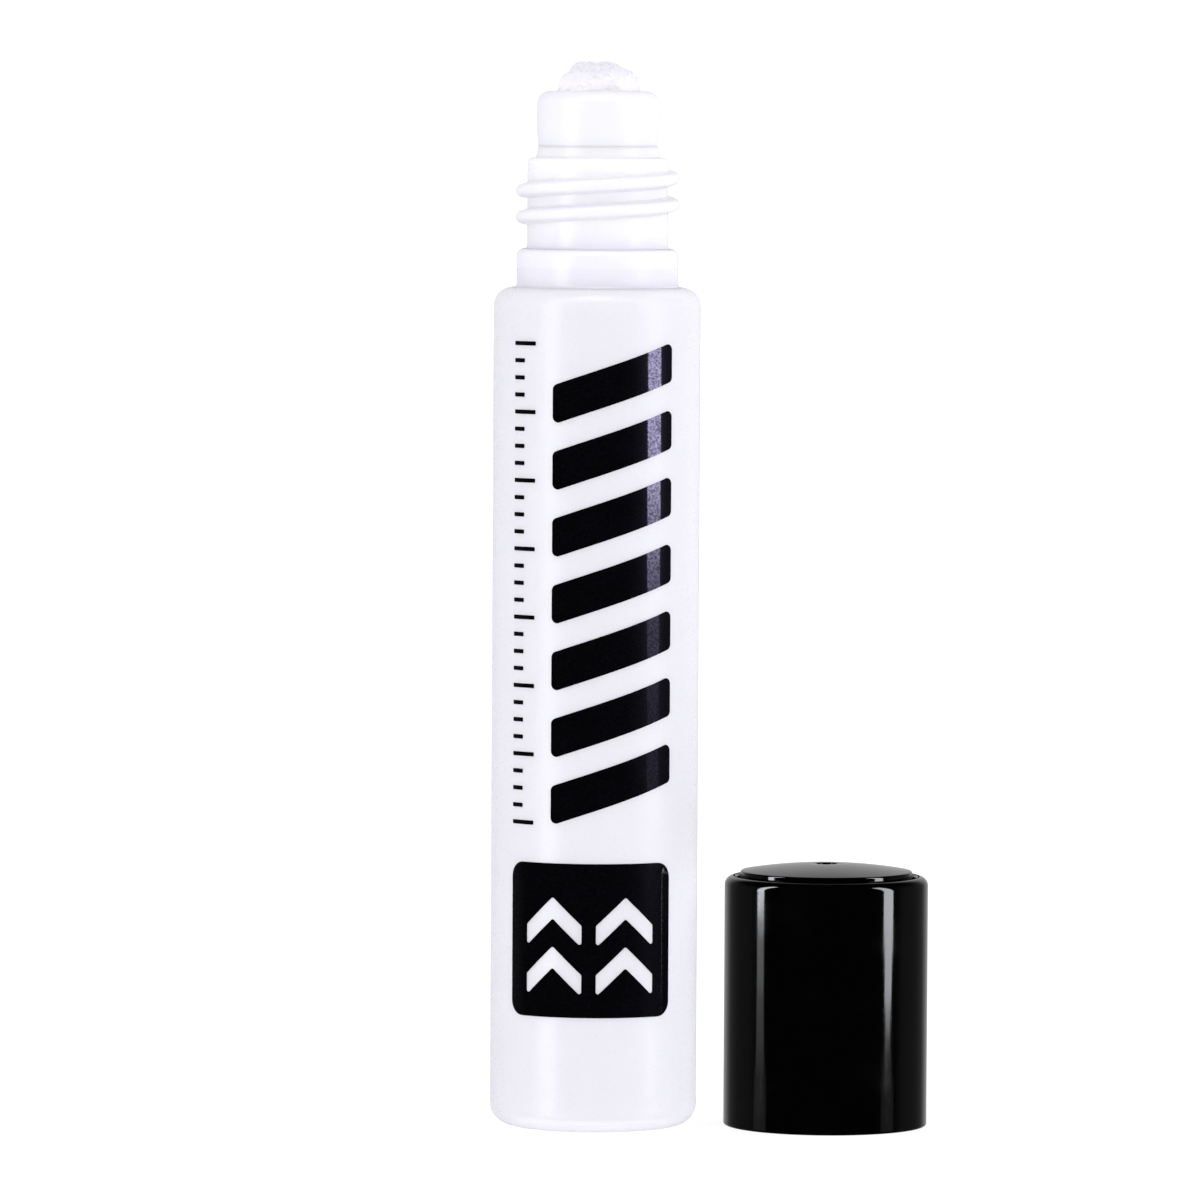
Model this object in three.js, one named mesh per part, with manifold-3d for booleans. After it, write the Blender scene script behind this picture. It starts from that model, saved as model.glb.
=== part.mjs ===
// Empty squeeze marker with its cap taken off and stood beside it.
// Millimetres, +Z up. The origin is the centre of the bottle's flat base, on the bottle's axis.
// The marker's front faces -Y and the cap stands to its right, along +X.
import * as THREE from 'three';
import { mergeVertices } from 'three/addons/utils/BufferGeometryUtils.js';
import Module from 'manifold-3d';

const wasm = await Module();
wasm.setup();

// Bottle: a soft blow-moulded tube with a threaded neck
const BODY_RADIUS = 12.5;
const BODY_WALL = 1.1;
const BASE_THICKNESS = 1.4;
const BASE_CORNER = 2.6;
const BASE_INSIDE_CORNER = 0.7;
const SHOULDER_HEIGHT = 101.2;
const SHOULDER_CORNER = 2.7;
const COLLAR_STEP = 2.75;
const COLLAR_HEIGHT = 4.65;
const COLLAR_CORNER = 0.9;
const NECK_STEP = 1.25;
const NECK_HEIGHT = 10.95;
const NECK_CORNER = 0.6;
const NECK_WALL = 2.1;
const LIP_STEP = 1.0;
const LIP_TAPER = 0.3;
const LIP_HEIGHT = 1.4;
const BORE_CHAMFER = 0.4;

// Neck thread: a rounded bead that winds up to the right across the front
const THREAD_PITCH = 3.175;
const THREAD_DEPTH = 1.37;
const THREAD_BEAD_RADIUS = 0.85;
const THREAD_START_ABOVE_COLLAR = 3.3;
const THREAD_START_TURN = 0.35;
const THREAD_TURNS = 1.8;
const THREAD_FADE_TURNS = 0.09;

// Tip holder: a cup that stands on the lip, over a long plug with sealing ribs
const CUP_FOOT_INSET = 0.1;
const CUP_FLARE = 0.3;
const CUP_FOOT_HEIGHT = 1.9;
const CUP_HEIGHT = 6.6;
const CUP_CORNER = 1.3;
const PLUG_CLEARANCE = 0.1;
const PLUG_RIB_DEPTH = 0.15;
const PLUG_RIB_WIDTH = 0.8;
const PLUG_RIB_COUNT = 3;
const PLUG_LENGTH = 13.4;
const PLUG_CHAMFER = 0.35;
const SOCKET_DEPTH = 11.8;
const SOCKET_CHAMFER = 0.25;
const WEB_THICKNESS = 1.5;
const CHAMBER_WALL = 1.15;
const SOCKET_WALL = 0.95;

// Nib: a felt rod with a domed writing end
const NIB_CLEARANCE = 0.1;
const NIB_SHOULDER_ABOVE_CUP = 1.3;
const NIB_REACH_ABOVE_CUP = 3.8;
const NIB_SHOULDER_INSET = 0.25;
const NIB_CROWN_RADIUS = 2.0;
const NIB_STROKE = 1.5;
const STROKE_CLEARANCE = 0.1;

// Valve: the poppet hangs through the web and the spring pushes it up against the web
const POPPET_STEM_CLEARANCE = 0.15;
const POPPET_RIB_THICKNESS = 0.8;
const POPPET_HEAD_RADIUS = 3.4;
const POPPET_SEAT_WIDTH = 1.4;
const POPPET_RIM_HEIGHT = 0.6;
const POPPET_HEAD_HEIGHT = 1.8;
const POPPET_GUIDE_CLEARANCE = 0.58;
const POPPET_GUIDE_LENGTH = 2.8;
const CAGE_CLEARANCE = 0.1;
const CAGE_WALL = 0.8;
const CAGE_HEIGHT = 3.0;
const CAGE_FLOOR = 1.2;
const CAGE_FLANGE_THICKNESS = 1.2;
const CAGE_FLANGE_INSET = 0.3;
const CAGE_GUIDE_CLEARANCE = 0.25;
const CAGE_SLOT_WIDTH = 1.2;
const CAGE_SLOT_MARGIN = 0.5;
const WIRE_RADIUS = 0.22;
const SPRING_INSET = 1.1;
const SPRING_CURLS = 4;
const SPRING_END_GAP = 0.05;

// Cap: a sleeve round a threaded liner, with a loose sealing disc in its roof
const CAP_GAP = 3.3;
const CAP_INSET = 0.2;
const SHELL_HEIGHT = 30.2;
const SHELL_CORNER = 1.2;
const SHELL_FOOT_CHAMFER = 0.25;
const RIM_OVERHANG = 0.5;
const RIM_DEPTH = 1.5;
const SNAP_DEPTH = 0.35;
const SNAP_HEIGHT = 0.8;
const SNAP_START = 0.3;
const LINER_CLEARANCE = 0.2;
const LINER_END_CLEARANCE = 0.3;
const LINER_WALL = 1.05;
const LINER_CREST_CLEARANCE = 0.18;
const DISC_GROOVE = 0.4;
const DISC_RISE = 0.6;
const DISC_DOME = 0.9;
const DISC_EDGE = 0.3;
const ROOF_THICKNESS = 1.9;
const DIMPLE_RADIUS = 1.25;
const DIMPLE_DEPTH = 0.7;
const SEAL_THICKNESS = 0.6;
const SEAL_CLEARANCE = 0.15;
const CAP_THREAD_CLEARANCE = 0.3;
const CAP_THREAD_BEAD_RADIUS = 0.6;
const CAP_THREAD_START = 8.2;
const CAP_THREAD_TURNS = 1.4;

// The small gap that two seated faces keep, and how far a cut runs past what it cuts
const SEAT_GAP = 0.02;
const CUT_MARGIN = 1;

// How finely round shapes are drawn
const ROUND_SIDES = 40;
const SMALL_SIDES = 24;
const THREAD_STEPS_PER_TURN = 20;
const THREAD_BEAD_SIDES = 8;
const CURL_STEPS = 8;
const WIRE_SIDES = 5;
const CORNER_STEPS = 4;
const MERGE_TOLERANCE = 1e-4;

// Radii that follow from the sizes above, from the bottle inwards and from its neck out to the cap
const COLLAR_RADIUS = BODY_RADIUS - COLLAR_STEP;
const NECK_RADIUS = COLLAR_RADIUS - NECK_STEP;
const LIP_RADIUS = NECK_RADIUS - LIP_STEP;
const NECK_BORE = NECK_RADIUS - NECK_WALL;
const CUP_FOOT_RADIUS = LIP_RADIUS - LIP_TAPER - CUP_FOOT_INSET;
const CUP_RADIUS = CUP_FOOT_RADIUS + CUP_FLARE;
const PLUG_RIB_RADIUS = NECK_BORE - PLUG_CLEARANCE;
const PLUG_RADIUS = PLUG_RIB_RADIUS - PLUG_RIB_DEPTH;
const SOCKET_RADIUS = PLUG_RADIUS - SOCKET_WALL;
const NIB_RADIUS = SOCKET_RADIUS - NIB_CLEARANCE;
const CHAMBER_RADIUS = PLUG_RADIUS - CHAMBER_WALL;
const CAGE_RADIUS = CHAMBER_RADIUS - CAGE_CLEARANCE;
const WEB_HOLE_RADIUS = POPPET_HEAD_RADIUS - POPPET_SEAT_WIDTH;
const SPRING_RADIUS = POPPET_HEAD_RADIUS - SPRING_INSET;
const POPPET_GUIDE_RADIUS = SPRING_RADIUS - WIRE_RADIUS - POPPET_GUIDE_CLEARANCE;
const LINER_BORE = NECK_RADIUS + THREAD_DEPTH + LINER_CREST_CLEARANCE;
const LINER_RADIUS = LINER_BORE + LINER_WALL;
const SHELL_BORE = LINER_RADIUS + LINER_CLEARANCE;
const CAP_RADIUS = BODY_RADIUS - CAP_INSET;
const CAP_SPACING = BODY_RADIUS + CAP_GAP + CAP_RADIUS;
const RIM_BORE = SHELL_BORE - RIM_OVERHANG;
const DISC_RADIUS = RIM_BORE - DISC_GROOVE;

// Heights that follow from the sizes above
const COLLAR_TOP = SHOULDER_HEIGHT + COLLAR_HEIGHT;
const NECK_TOP = COLLAR_TOP + NECK_HEIGHT;
const LIP_TOP = NECK_TOP + LIP_HEIGHT;
const CUP_BOTTOM = LIP_TOP + SEAT_GAP;
const CUP_TOP = CUP_BOTTOM + CUP_HEIGHT;
const PLUG_BOTTOM = CUP_BOTTOM - PLUG_LENGTH;
const SOCKET_FLOOR = CUP_TOP - SOCKET_DEPTH;
const WEB_BOTTOM = SOCKET_FLOOR - WEB_THICKNESS;
const NIB_BOTTOM = SOCKET_FLOOR + NIB_STROKE + STROKE_CLEARANCE;
const POPPET_SEAT = WEB_BOTTOM - SEAT_GAP;
const POPPET_HEAD_BOTTOM = POPPET_SEAT - POPPET_HEAD_HEIGHT;
const CAGE_BOTTOM = PLUG_BOTTOM - SEAT_GAP - CAGE_FLANGE_THICKNESS;
const CAGE_FLOOR_TOP = CAGE_BOTTOM + CAGE_FLOOR;
const LINER_BOTTOM = SNAP_START + SNAP_HEIGHT + LINER_END_CLEARANCE;
const LINER_LEDGE = SHELL_HEIGHT - RIM_DEPTH - LINER_END_CLEARANCE;
const DISC_EDGE_TOP = SHELL_HEIGHT + DISC_RISE;
const ROOF = DISC_EDGE_TOP - ROOF_THICKNESS;

const materials = {
  bottle: { color: 0xe9e8f4, roughness: 0.3, metalness: 0 },
  holder: { color: 0xf7f6fb, roughness: 0.4, metalness: 0 },
  felt: { color: 0xf4f3f4, roughness: 1, metalness: 0 },
  valve: { color: 0xeeeef2, roughness: 0.45, metalness: 0 },
  spring: { color: 0xb9bcc2, roughness: 0.25, metalness: 1 },
  cap: { color: 0x060607, roughness: 0.12, metalness: 0 },
  seal: { color: 0xf0f0ee, roughness: 0.7, metalness: 0 },
};

// Outline helpers. A point is [radius, height].

/** Points of a quarter round from angle `from` to angle `to`, in degrees, about a centre. */
function arc(centreRadius, centreHeight, radius, from, to, steps = CORNER_STEPS) {
  return Array.from({ length: steps + 1 }, (_, i) => {
    const angle = THREE.MathUtils.degToRad(from + ((to - from) * i) / steps);
    return [centreRadius + radius * Math.cos(angle), centreHeight + radius * Math.sin(angle)];
  });
}

/** A convex outer corner, turning from a vertical wall to a level top. */
function topCorner(wallRadius, top, radius) {
  return arc(wallRadius - radius, top - radius, radius, 0, 90);
}

/** A convex outer corner, turning from a level bottom to a vertical wall. */
function bottomCorner(wallRadius, bottom, radius) {
  return arc(wallRadius - radius, bottom + radius, radius, -90, 0);
}

// Solid helpers

/** The geometry with shared vertices merged and collapsed triangles dropped, so that it is closed. */
function closed(geometry) {
  geometry.deleteAttribute('normal');
  geometry.deleteAttribute('uv');
  const merged = mergeVertices(geometry, MERGE_TOLERANCE);
  const corners = merged.index.array;
  const kept = [];
  for (let i = 0; i < corners.length; i += 3) {
    const [a, b, c] = corners.slice(i, i + 3);
    if (a !== b && b !== c && c !== a) kept.push(a, b, c);
  }
  merged.setIndex(kept);
  return merged;
}

function toManifold(geometry) {
  const shape = closed(geometry);
  return new wasm.Manifold(
    new wasm.Mesh({
      numProp: 3,
      vertProperties: new Float32Array(shape.attributes.position.array),
      triVerts: new Uint32Array(shape.index.array),
    }),
  );
}

function toGeometry(manifold) {
  const mesh = manifold.getMesh();
  const geometry = new THREE.BufferGeometry();
  geometry.setAttribute('position', new THREE.BufferAttribute(mesh.vertProperties, 3));
  geometry.setIndex(new THREE.BufferAttribute(mesh.triVerts, 1));
  return geometry;
}

/** A turned solid about +Z. The outline runs up the outside and down the inside. */
function turned(outline, sides = ROUND_SIDES) {
  const points = outline.map(([radius, height]) => new THREE.Vector2(radius, height));
  return toManifold(new THREE.LatheGeometry(points, sides).rotateX(Math.PI / 2));
}

/** A turned ring: its outline closes on itself, away from the axis. */
function turnedRing(outline, sides = ROUND_SIDES) {
  return turned([...outline, outline[0]], sides);
}

/** A block centred on the axis, from one height to another. */
function block(width, depth, bottom, top) {
  const height = top - bottom;
  return toManifold(new THREE.BoxGeometry(width, depth, height).translate(0, 0, bottom + height / 2));
}

/** A path that winds up to the right, and may start and end nearer to the axis or further from it. */
class Helix extends THREE.Curve {
  constructor({ radius, bottom, pitch, startTurn, turns, endShift = 0, fadeTurns = 0 }) {
    super();
    Object.assign(this, { radius, bottom, pitch, startTurn, turns, endShift, fadeTurns });
  }

  getPoint(t, target = new THREE.Vector3()) {
    const turn = this.turns * t;
    const fromEnd = Math.min(turn, this.turns - turn);
    const fade = this.fadeTurns > 0 ? Math.max(0, 1 - fromEnd / this.fadeTurns) : 0;
    const radius = this.radius + this.endShift * fade;
    const angle = 2 * Math.PI * (this.startTurn + turn);
    return target.set(radius * Math.cos(angle), radius * Math.sin(angle), this.bottom + this.pitch * turn);
  }
}

/** A round bar that follows a helix. */
function wound(path, barRadius, stepsPerTurn, sides) {
  const section = new THREE.Shape();
  for (let i = 0; i < sides; i += 1) {
    const angle = (2 * Math.PI * i) / sides;
    const point = [barRadius * Math.cos(angle), barRadius * Math.sin(angle)];
    if (i === 0) section.moveTo(...point);
    else section.lineTo(...point);
  }
  section.closePath();
  const steps = Math.round(path.turns * stepsPerTurn);
  return toManifold(new THREE.ExtrudeGeometry(section, { steps, bevelEnabled: false, extrudePath: path }));
}

function mesh(name, manifold, look) {
  const made = new THREE.Mesh(toGeometry(manifold), new THREE.MeshStandardMaterial(materials[look]));
  made.name = name;
  return made;
}

// Bottle

function bottleOutline() {
  const innerRadius = BODY_RADIUS - BODY_WALL;
  const innerShoulder = SHOULDER_HEIGHT - BODY_WALL;
  const shoulderInside = Math.max(SHOULDER_CORNER - BODY_WALL, 0.2);
  return [
    [0, 0],
    ...bottomCorner(BODY_RADIUS, 0, BASE_CORNER),
    ...topCorner(BODY_RADIUS, SHOULDER_HEIGHT, SHOULDER_CORNER),
    [COLLAR_RADIUS, SHOULDER_HEIGHT],
    ...topCorner(COLLAR_RADIUS, COLLAR_TOP, COLLAR_CORNER),
    [NECK_RADIUS, COLLAR_TOP],
    ...topCorner(NECK_RADIUS, NECK_TOP, NECK_CORNER),
    [LIP_RADIUS, NECK_TOP],
    [LIP_RADIUS - LIP_TAPER, LIP_TOP],
    [NECK_BORE + BORE_CHAMFER, LIP_TOP],
    [NECK_BORE, LIP_TOP - BORE_CHAMFER],
    [NECK_BORE, innerShoulder],
    ...arc(innerRadius - shoulderInside, innerShoulder - shoulderInside, shoulderInside, 90, 0),
    ...arc(
      innerRadius - BASE_INSIDE_CORNER, BASE_THICKNESS + BASE_INSIDE_CORNER, BASE_INSIDE_CORNER, 0, -90,
    ),
    [0, BASE_THICKNESS],
  ];
}

function neckThread() {
  const path = new Helix({
    radius: NECK_RADIUS + THREAD_DEPTH - THREAD_BEAD_RADIUS,
    bottom: COLLAR_TOP + THREAD_START_ABOVE_COLLAR,
    pitch: THREAD_PITCH,
    startTurn: THREAD_START_TURN,
    turns: THREAD_TURNS,
    endShift: -THREAD_DEPTH,
    fadeTurns: THREAD_FADE_TURNS,
  });
  return wound(path, THREAD_BEAD_RADIUS, THREAD_STEPS_PER_TURN, THREAD_BEAD_SIDES);
}

function bottle() {
  return mesh('bottle', turned(bottleOutline()).add(neckThread()), 'bottle');
}

// Tip unit

/** The plug's outer side from its lower end up to the cup, with its sealing ribs evenly spaced. */
function plugSide() {
  const spacing = PLUG_LENGTH / (PLUG_RIB_COUNT + 1);
  const ribs = Array.from({ length: PLUG_RIB_COUNT }, (_, i) => PLUG_BOTTOM + spacing * (i + 1));
  return [
    [PLUG_RADIUS - PLUG_CHAMFER, PLUG_BOTTOM],
    [PLUG_RADIUS, PLUG_BOTTOM + PLUG_CHAMFER],
    ...ribs.flatMap((height) => [
      [PLUG_RADIUS, height - PLUG_RIB_WIDTH / 2],
      [PLUG_RIB_RADIUS, height - PLUG_RIB_WIDTH / 4],
      [PLUG_RIB_RADIUS, height + PLUG_RIB_WIDTH / 4],
      [PLUG_RADIUS, height + PLUG_RIB_WIDTH / 2],
    ]),
    [PLUG_RADIUS, CUP_BOTTOM],
  ];
}

function tipHolder() {
  const outline = [
    ...plugSide(),
    [CUP_FOOT_RADIUS, CUP_BOTTOM],
    [CUP_RADIUS, CUP_BOTTOM + CUP_FOOT_HEIGHT],
    ...topCorner(CUP_RADIUS, CUP_TOP, CUP_CORNER),
    [SOCKET_RADIUS + SOCKET_CHAMFER, CUP_TOP],
    [SOCKET_RADIUS, CUP_TOP - SOCKET_CHAMFER],
    [SOCKET_RADIUS, SOCKET_FLOOR],
    [WEB_HOLE_RADIUS, SOCKET_FLOOR],
    [WEB_HOLE_RADIUS, WEB_BOTTOM],
    [CHAMBER_RADIUS, WEB_BOTTOM],
    [CHAMBER_RADIUS, PLUG_BOTTOM],
  ];
  return mesh('tip_holder', turnedRing(outline), 'holder');
}

function feltTip() {
  const shoulder = CUP_TOP + NIB_SHOULDER_ABOVE_CUP;
  const crown = CUP_TOP + NIB_REACH_ABOVE_CUP;
  const fall = crown - shoulder;
  const reach = NIB_RADIUS - NIB_SHOULDER_INSET - NIB_CROWN_RADIUS;
  const dome = arc(0, 0, 1, 0, 90).map(([across, up]) => [
    NIB_CROWN_RADIUS + reach * across,
    shoulder + fall * up,
  ]);
  const outline = [
    [0, NIB_BOTTOM],
    [NIB_RADIUS, NIB_BOTTOM],
    [NIB_RADIUS, CUP_TOP],
    ...dome,
    [0, crown],
  ];
  return mesh('felt_tip', turned(outline), 'felt');
}

/** A stem of crossed ribs, so that ink runs up beside it, on a head that closes the web's hole. */
function valvePoppet() {
  const stemRadius = WEB_HOLE_RADIUS - POPPET_STEM_CLEARANCE;
  const stemTop = NIB_BOTTOM - SEAT_GAP;
  const head = turned(
    [
      [0, POPPET_HEAD_BOTTOM - POPPET_GUIDE_LENGTH],
      [POPPET_GUIDE_RADIUS, POPPET_HEAD_BOTTOM - POPPET_GUIDE_LENGTH],
      [POPPET_GUIDE_RADIUS, POPPET_HEAD_BOTTOM],
      [POPPET_HEAD_RADIUS, POPPET_HEAD_BOTTOM],
      [POPPET_HEAD_RADIUS, POPPET_SEAT - POPPET_RIM_HEIGHT],
      [stemRadius, POPPET_SEAT],
      [0, POPPET_SEAT],
    ],
    SMALL_SIDES,
  );
  const rib = block(2 * stemRadius, POPPET_RIB_THICKNESS, POPPET_SEAT - POPPET_RIM_HEIGHT, stemTop);
  const crossRib = rib.rotate([0, 0, 90]);
  return mesh('valve_poppet', head.add(rib).add(crossRib), 'valve');
}

/** The spring's path, from the cage's floor up to the poppet's head. */
function springPath() {
  const bottom = CAGE_FLOOR_TOP + SPRING_END_GAP + WIRE_RADIUS;
  const top = POPPET_HEAD_BOTTOM - SPRING_END_GAP - WIRE_RADIUS;
  return new Helix({
    radius: SPRING_RADIUS,
    bottom,
    pitch: (top - bottom) / SPRING_CURLS,
    startTurn: 0,
    turns: SPRING_CURLS,
  });
}

/** The least gap between one curl of the spring and the next, measured on points of its path. */
function leastSpringGap(path) {
  const points = path.getPoints(SPRING_CURLS * CURL_STEPS);
  let least = Infinity;
  for (let i = 0; i < points.length; i += 1) {
    for (let j = i + CURL_STEPS / 2; j < points.length; j += 1) {
      least = Math.min(least, points[i].distanceTo(points[j]) - 2 * WIRE_RADIUS);
    }
  }
  return least;
}

function valveSpring() {
  const path = springPath();
  console.log(`valve_spring: least gap to itself ${leastSpringGap(path).toFixed(2)} mm`);
  return mesh('valve_spring', wound(path, WIRE_RADIUS, CURL_STEPS, WIRE_SIDES), 'spring');
}

/** A flanged cup in the plug's lower end, with crossed slots that let ink in from the bottle. */
function springCage() {
  const flangeRadius = PLUG_RIB_RADIUS - CAGE_FLANGE_INSET;
  const guideHole = POPPET_GUIDE_RADIUS + CAGE_GUIDE_CLEARANCE;
  const cup = turnedRing(
    [
      [guideHole, CAGE_BOTTOM],
      [flangeRadius, CAGE_BOTTOM],
      [flangeRadius, CAGE_BOTTOM + CAGE_FLANGE_THICKNESS],
      [CAGE_RADIUS, CAGE_BOTTOM + CAGE_FLANGE_THICKNESS],
      [CAGE_RADIUS, CAGE_FLOOR_TOP + CAGE_HEIGHT],
      [CAGE_RADIUS - CAGE_WALL, CAGE_FLOOR_TOP + CAGE_HEIGHT],
      [CAGE_RADIUS - CAGE_WALL, CAGE_FLOOR_TOP],
      [guideHole, CAGE_FLOOR_TOP],
    ],
    SMALL_SIDES,
  );
  const length = 2 * (CAGE_RADIUS - CAGE_WALL - CAGE_SLOT_MARGIN);
  const slot = block(length, CAGE_SLOT_WIDTH, CAGE_BOTTOM - CUT_MARGIN, CAGE_FLOOR_TOP + CUT_MARGIN);
  return mesh('spring_cage', cup.subtract(slot).subtract(slot.rotate([0, 0, 90])), 'valve');
}

// Cap, modelled about its own axis

function capShell() {
  const snapTop = SNAP_START + SNAP_HEIGHT;
  const outline = [
    [SHELL_BORE, 0],
    [CAP_RADIUS - SHELL_FOOT_CHAMFER, 0],
    [CAP_RADIUS, SHELL_FOOT_CHAMFER],
    ...topCorner(CAP_RADIUS, SHELL_HEIGHT, SHELL_CORNER),
    [RIM_BORE, SHELL_HEIGHT],
    [RIM_BORE, SHELL_HEIGHT - RIM_DEPTH],
    [SHELL_BORE, SHELL_HEIGHT - RIM_DEPTH],
    [SHELL_BORE, snapTop],
    [SHELL_BORE - SNAP_DEPTH, (snapTop + SNAP_START) / 2],
    [SHELL_BORE, SNAP_START],
  ];
  return mesh('cap_shell', turnedRing(outline), 'cap');
}

/** The dome of the visible disc, from the dimple's edge out to the disc's edge, as points going inwards. */
function discDome() {
  const spread = DISC_RADIUS - DISC_EDGE;
  return Array.from({ length: CORNER_STEPS + 1 }, (_, i) => {
    const radius = spread + ((DIMPLE_RADIUS - spread) * i) / CORNER_STEPS;
    return [radius, DISC_EDGE_TOP + DISC_DOME * (1 - (radius / spread) ** 2)];
  });
}

function capThread() {
  const path = new Helix({
    radius: NECK_RADIUS + CAP_THREAD_CLEARANCE + CAP_THREAD_BEAD_RADIUS,
    bottom: CAP_THREAD_START,
    pitch: THREAD_PITCH,
    startTurn: 0,
    turns: CAP_THREAD_TURNS,
    endShift: LINER_BORE - NECK_RADIUS - CAP_THREAD_CLEARANCE - CAP_THREAD_BEAD_RADIUS,
    fadeTurns: THREAD_FADE_TURNS,
  });
  return wound(path, CAP_THREAD_BEAD_RADIUS, THREAD_STEPS_PER_TURN, THREAD_BEAD_SIDES);
}

function capLiner() {
  const body = turned([
    [LINER_BORE, LINER_BOTTOM],
    [LINER_RADIUS, LINER_BOTTOM],
    [LINER_RADIUS, LINER_LEDGE],
    [DISC_RADIUS, LINER_LEDGE],
    [DISC_RADIUS, DISC_EDGE_TOP - DISC_EDGE],
    ...discDome(),
    [DIMPLE_RADIUS, DISC_EDGE_TOP + DISC_DOME - DIMPLE_DEPTH],
    [0, DISC_EDGE_TOP + DISC_DOME - DIMPLE_DEPTH],
    [0, ROOF],
    [LINER_BORE, ROOF],
    [LINER_BORE, LINER_BOTTOM],
  ]);
  return mesh('cap_liner', body.add(capThread()), 'cap');
}

function capSeal() {
  const radius = LINER_BORE - SEAL_CLEARANCE;
  const top = ROOF - SEAT_GAP;
  const outline = [
    [0, top - SEAL_THICKNESS],
    [radius, top - SEAL_THICKNESS],
    [radius, top],
    [0, top],
  ];
  return mesh('cap_seal', turned(outline, SMALL_SIDES), 'seal');
}

// Assembly

const marker = new THREE.Group();
marker.add(bottle(), tipHolder(), feltTip(), valvePoppet(), valveSpring(), springCage());

const cap = new THREE.Group();
cap.position.x = CAP_SPACING;
cap.add(capShell(), capLiner(), capSeal());

const squeezeMarker = new THREE.Group();
squeezeMarker.add(marker, cap);

export default squeezeMarker;
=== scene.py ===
"""An empty squeeze marker with its cap stood beside it, dressed for a studio picture.

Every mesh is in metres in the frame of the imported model: +Z is up, the printed front of the
bottle faces -Y, and the cap stands along +X. Sizes in the classes below are in millimetres.
"""

import logging
import math
import random
from dataclasses import dataclass, field
from enum import Enum

import bmesh
import bpy
from mathutils import Euler, Matrix, Vector, noise


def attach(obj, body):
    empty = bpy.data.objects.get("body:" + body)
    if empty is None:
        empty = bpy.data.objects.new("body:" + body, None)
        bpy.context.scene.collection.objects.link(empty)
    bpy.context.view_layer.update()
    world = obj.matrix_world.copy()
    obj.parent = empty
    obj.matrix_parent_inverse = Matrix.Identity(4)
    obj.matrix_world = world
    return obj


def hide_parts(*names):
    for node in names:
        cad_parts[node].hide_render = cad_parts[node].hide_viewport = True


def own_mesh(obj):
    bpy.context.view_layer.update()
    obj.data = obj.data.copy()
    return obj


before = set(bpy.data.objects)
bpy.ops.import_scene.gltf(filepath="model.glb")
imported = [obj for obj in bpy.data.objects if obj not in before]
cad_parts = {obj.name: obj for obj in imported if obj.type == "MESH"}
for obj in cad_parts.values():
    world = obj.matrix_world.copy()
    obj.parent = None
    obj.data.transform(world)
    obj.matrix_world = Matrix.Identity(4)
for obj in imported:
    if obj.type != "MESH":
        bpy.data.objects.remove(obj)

MM = 0.001
FULL_TURN = 2 * math.pi
# Vertices that are closer than this, in metres, are one.
MERGE_DISTANCE = 1e-7
# A vertex lies on a wall when it is this close to the wall's radius, in millimetres.
WALL_TOLERANCE = 0.01
# Two round corners may take up this share of the straight between them.
STRAIGHT_SHARE = 0.98
# A straight gets a point this far from a round corner, in millimetres, if it is long enough.
HOLD_DISTANCE = 0.12
HOLDS_PER_STRAIGHT = 3
NO_HOLD = math.inf
# A mesh with thread beads stays smooth up to this angle, in degrees.
THREAD_SHARP = 70.0

logging.basicConfig(level=logging.INFO, format="%(message)s")
log = logging.getLogger("squeeze_marker")

Point = tuple[float, float]
Corner = tuple[float, float, float]
Colour = tuple[float, float, float]
Span = tuple[float, float]
Value = "Wire | float | tuple[float, ...]"


class Body(Enum):
    """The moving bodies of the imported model."""

    BOTTLE = "bottle"
    TIP_UNIT = "tip_unit"
    NIB = "nib"
    CAP_CARRIER = "cap_carrier"
    CAP = "cap"


# Shaders


class Wire:
    """One value in a shader. Python's operators on it add the Math nodes that they stand for."""

    def __init__(self, shader: "Shader", socket: bpy.types.NodeSocket) -> None:
        """Keeps a socket and the shader that it belongs to."""
        self.shader = shader
        self.socket = socket

    def __add__(self, other: Value) -> "Wire":
        """The sum of two values."""
        return self.shader.math("ADD", self, other)

    __radd__ = __add__

    def __sub__(self, other: Value) -> "Wire":
        """This value less another."""
        return self.shader.math("SUBTRACT", self, other)

    def __rsub__(self, other: Value) -> "Wire":
        """Another value less this one."""
        return self.shader.math("SUBTRACT", other, self)

    def __mul__(self, other: Value) -> "Wire":
        """The product of two values."""
        return self.shader.math("MULTIPLY", self, other)

    __rmul__ = __mul__

    def mixed(self, other: "Wire", share: float) -> "Wire":
        """This value with a share of another mixed in."""
        return self * (1 - share) + other * share

    def ramp(self, low: float, high: float) -> "Wire":
        """Turns this value smoothly from 0 to 1.

        Args:
            low: Where it is still 0.
            high: Where it has become 1.

        Returns:
            The new value.
        """
        settings = {"interpolation_type": "SMOOTHSTEP"}
        return self.shader.node("ShaderNodeMapRange", settings, {0: self, 1: low, 2: high})


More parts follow.
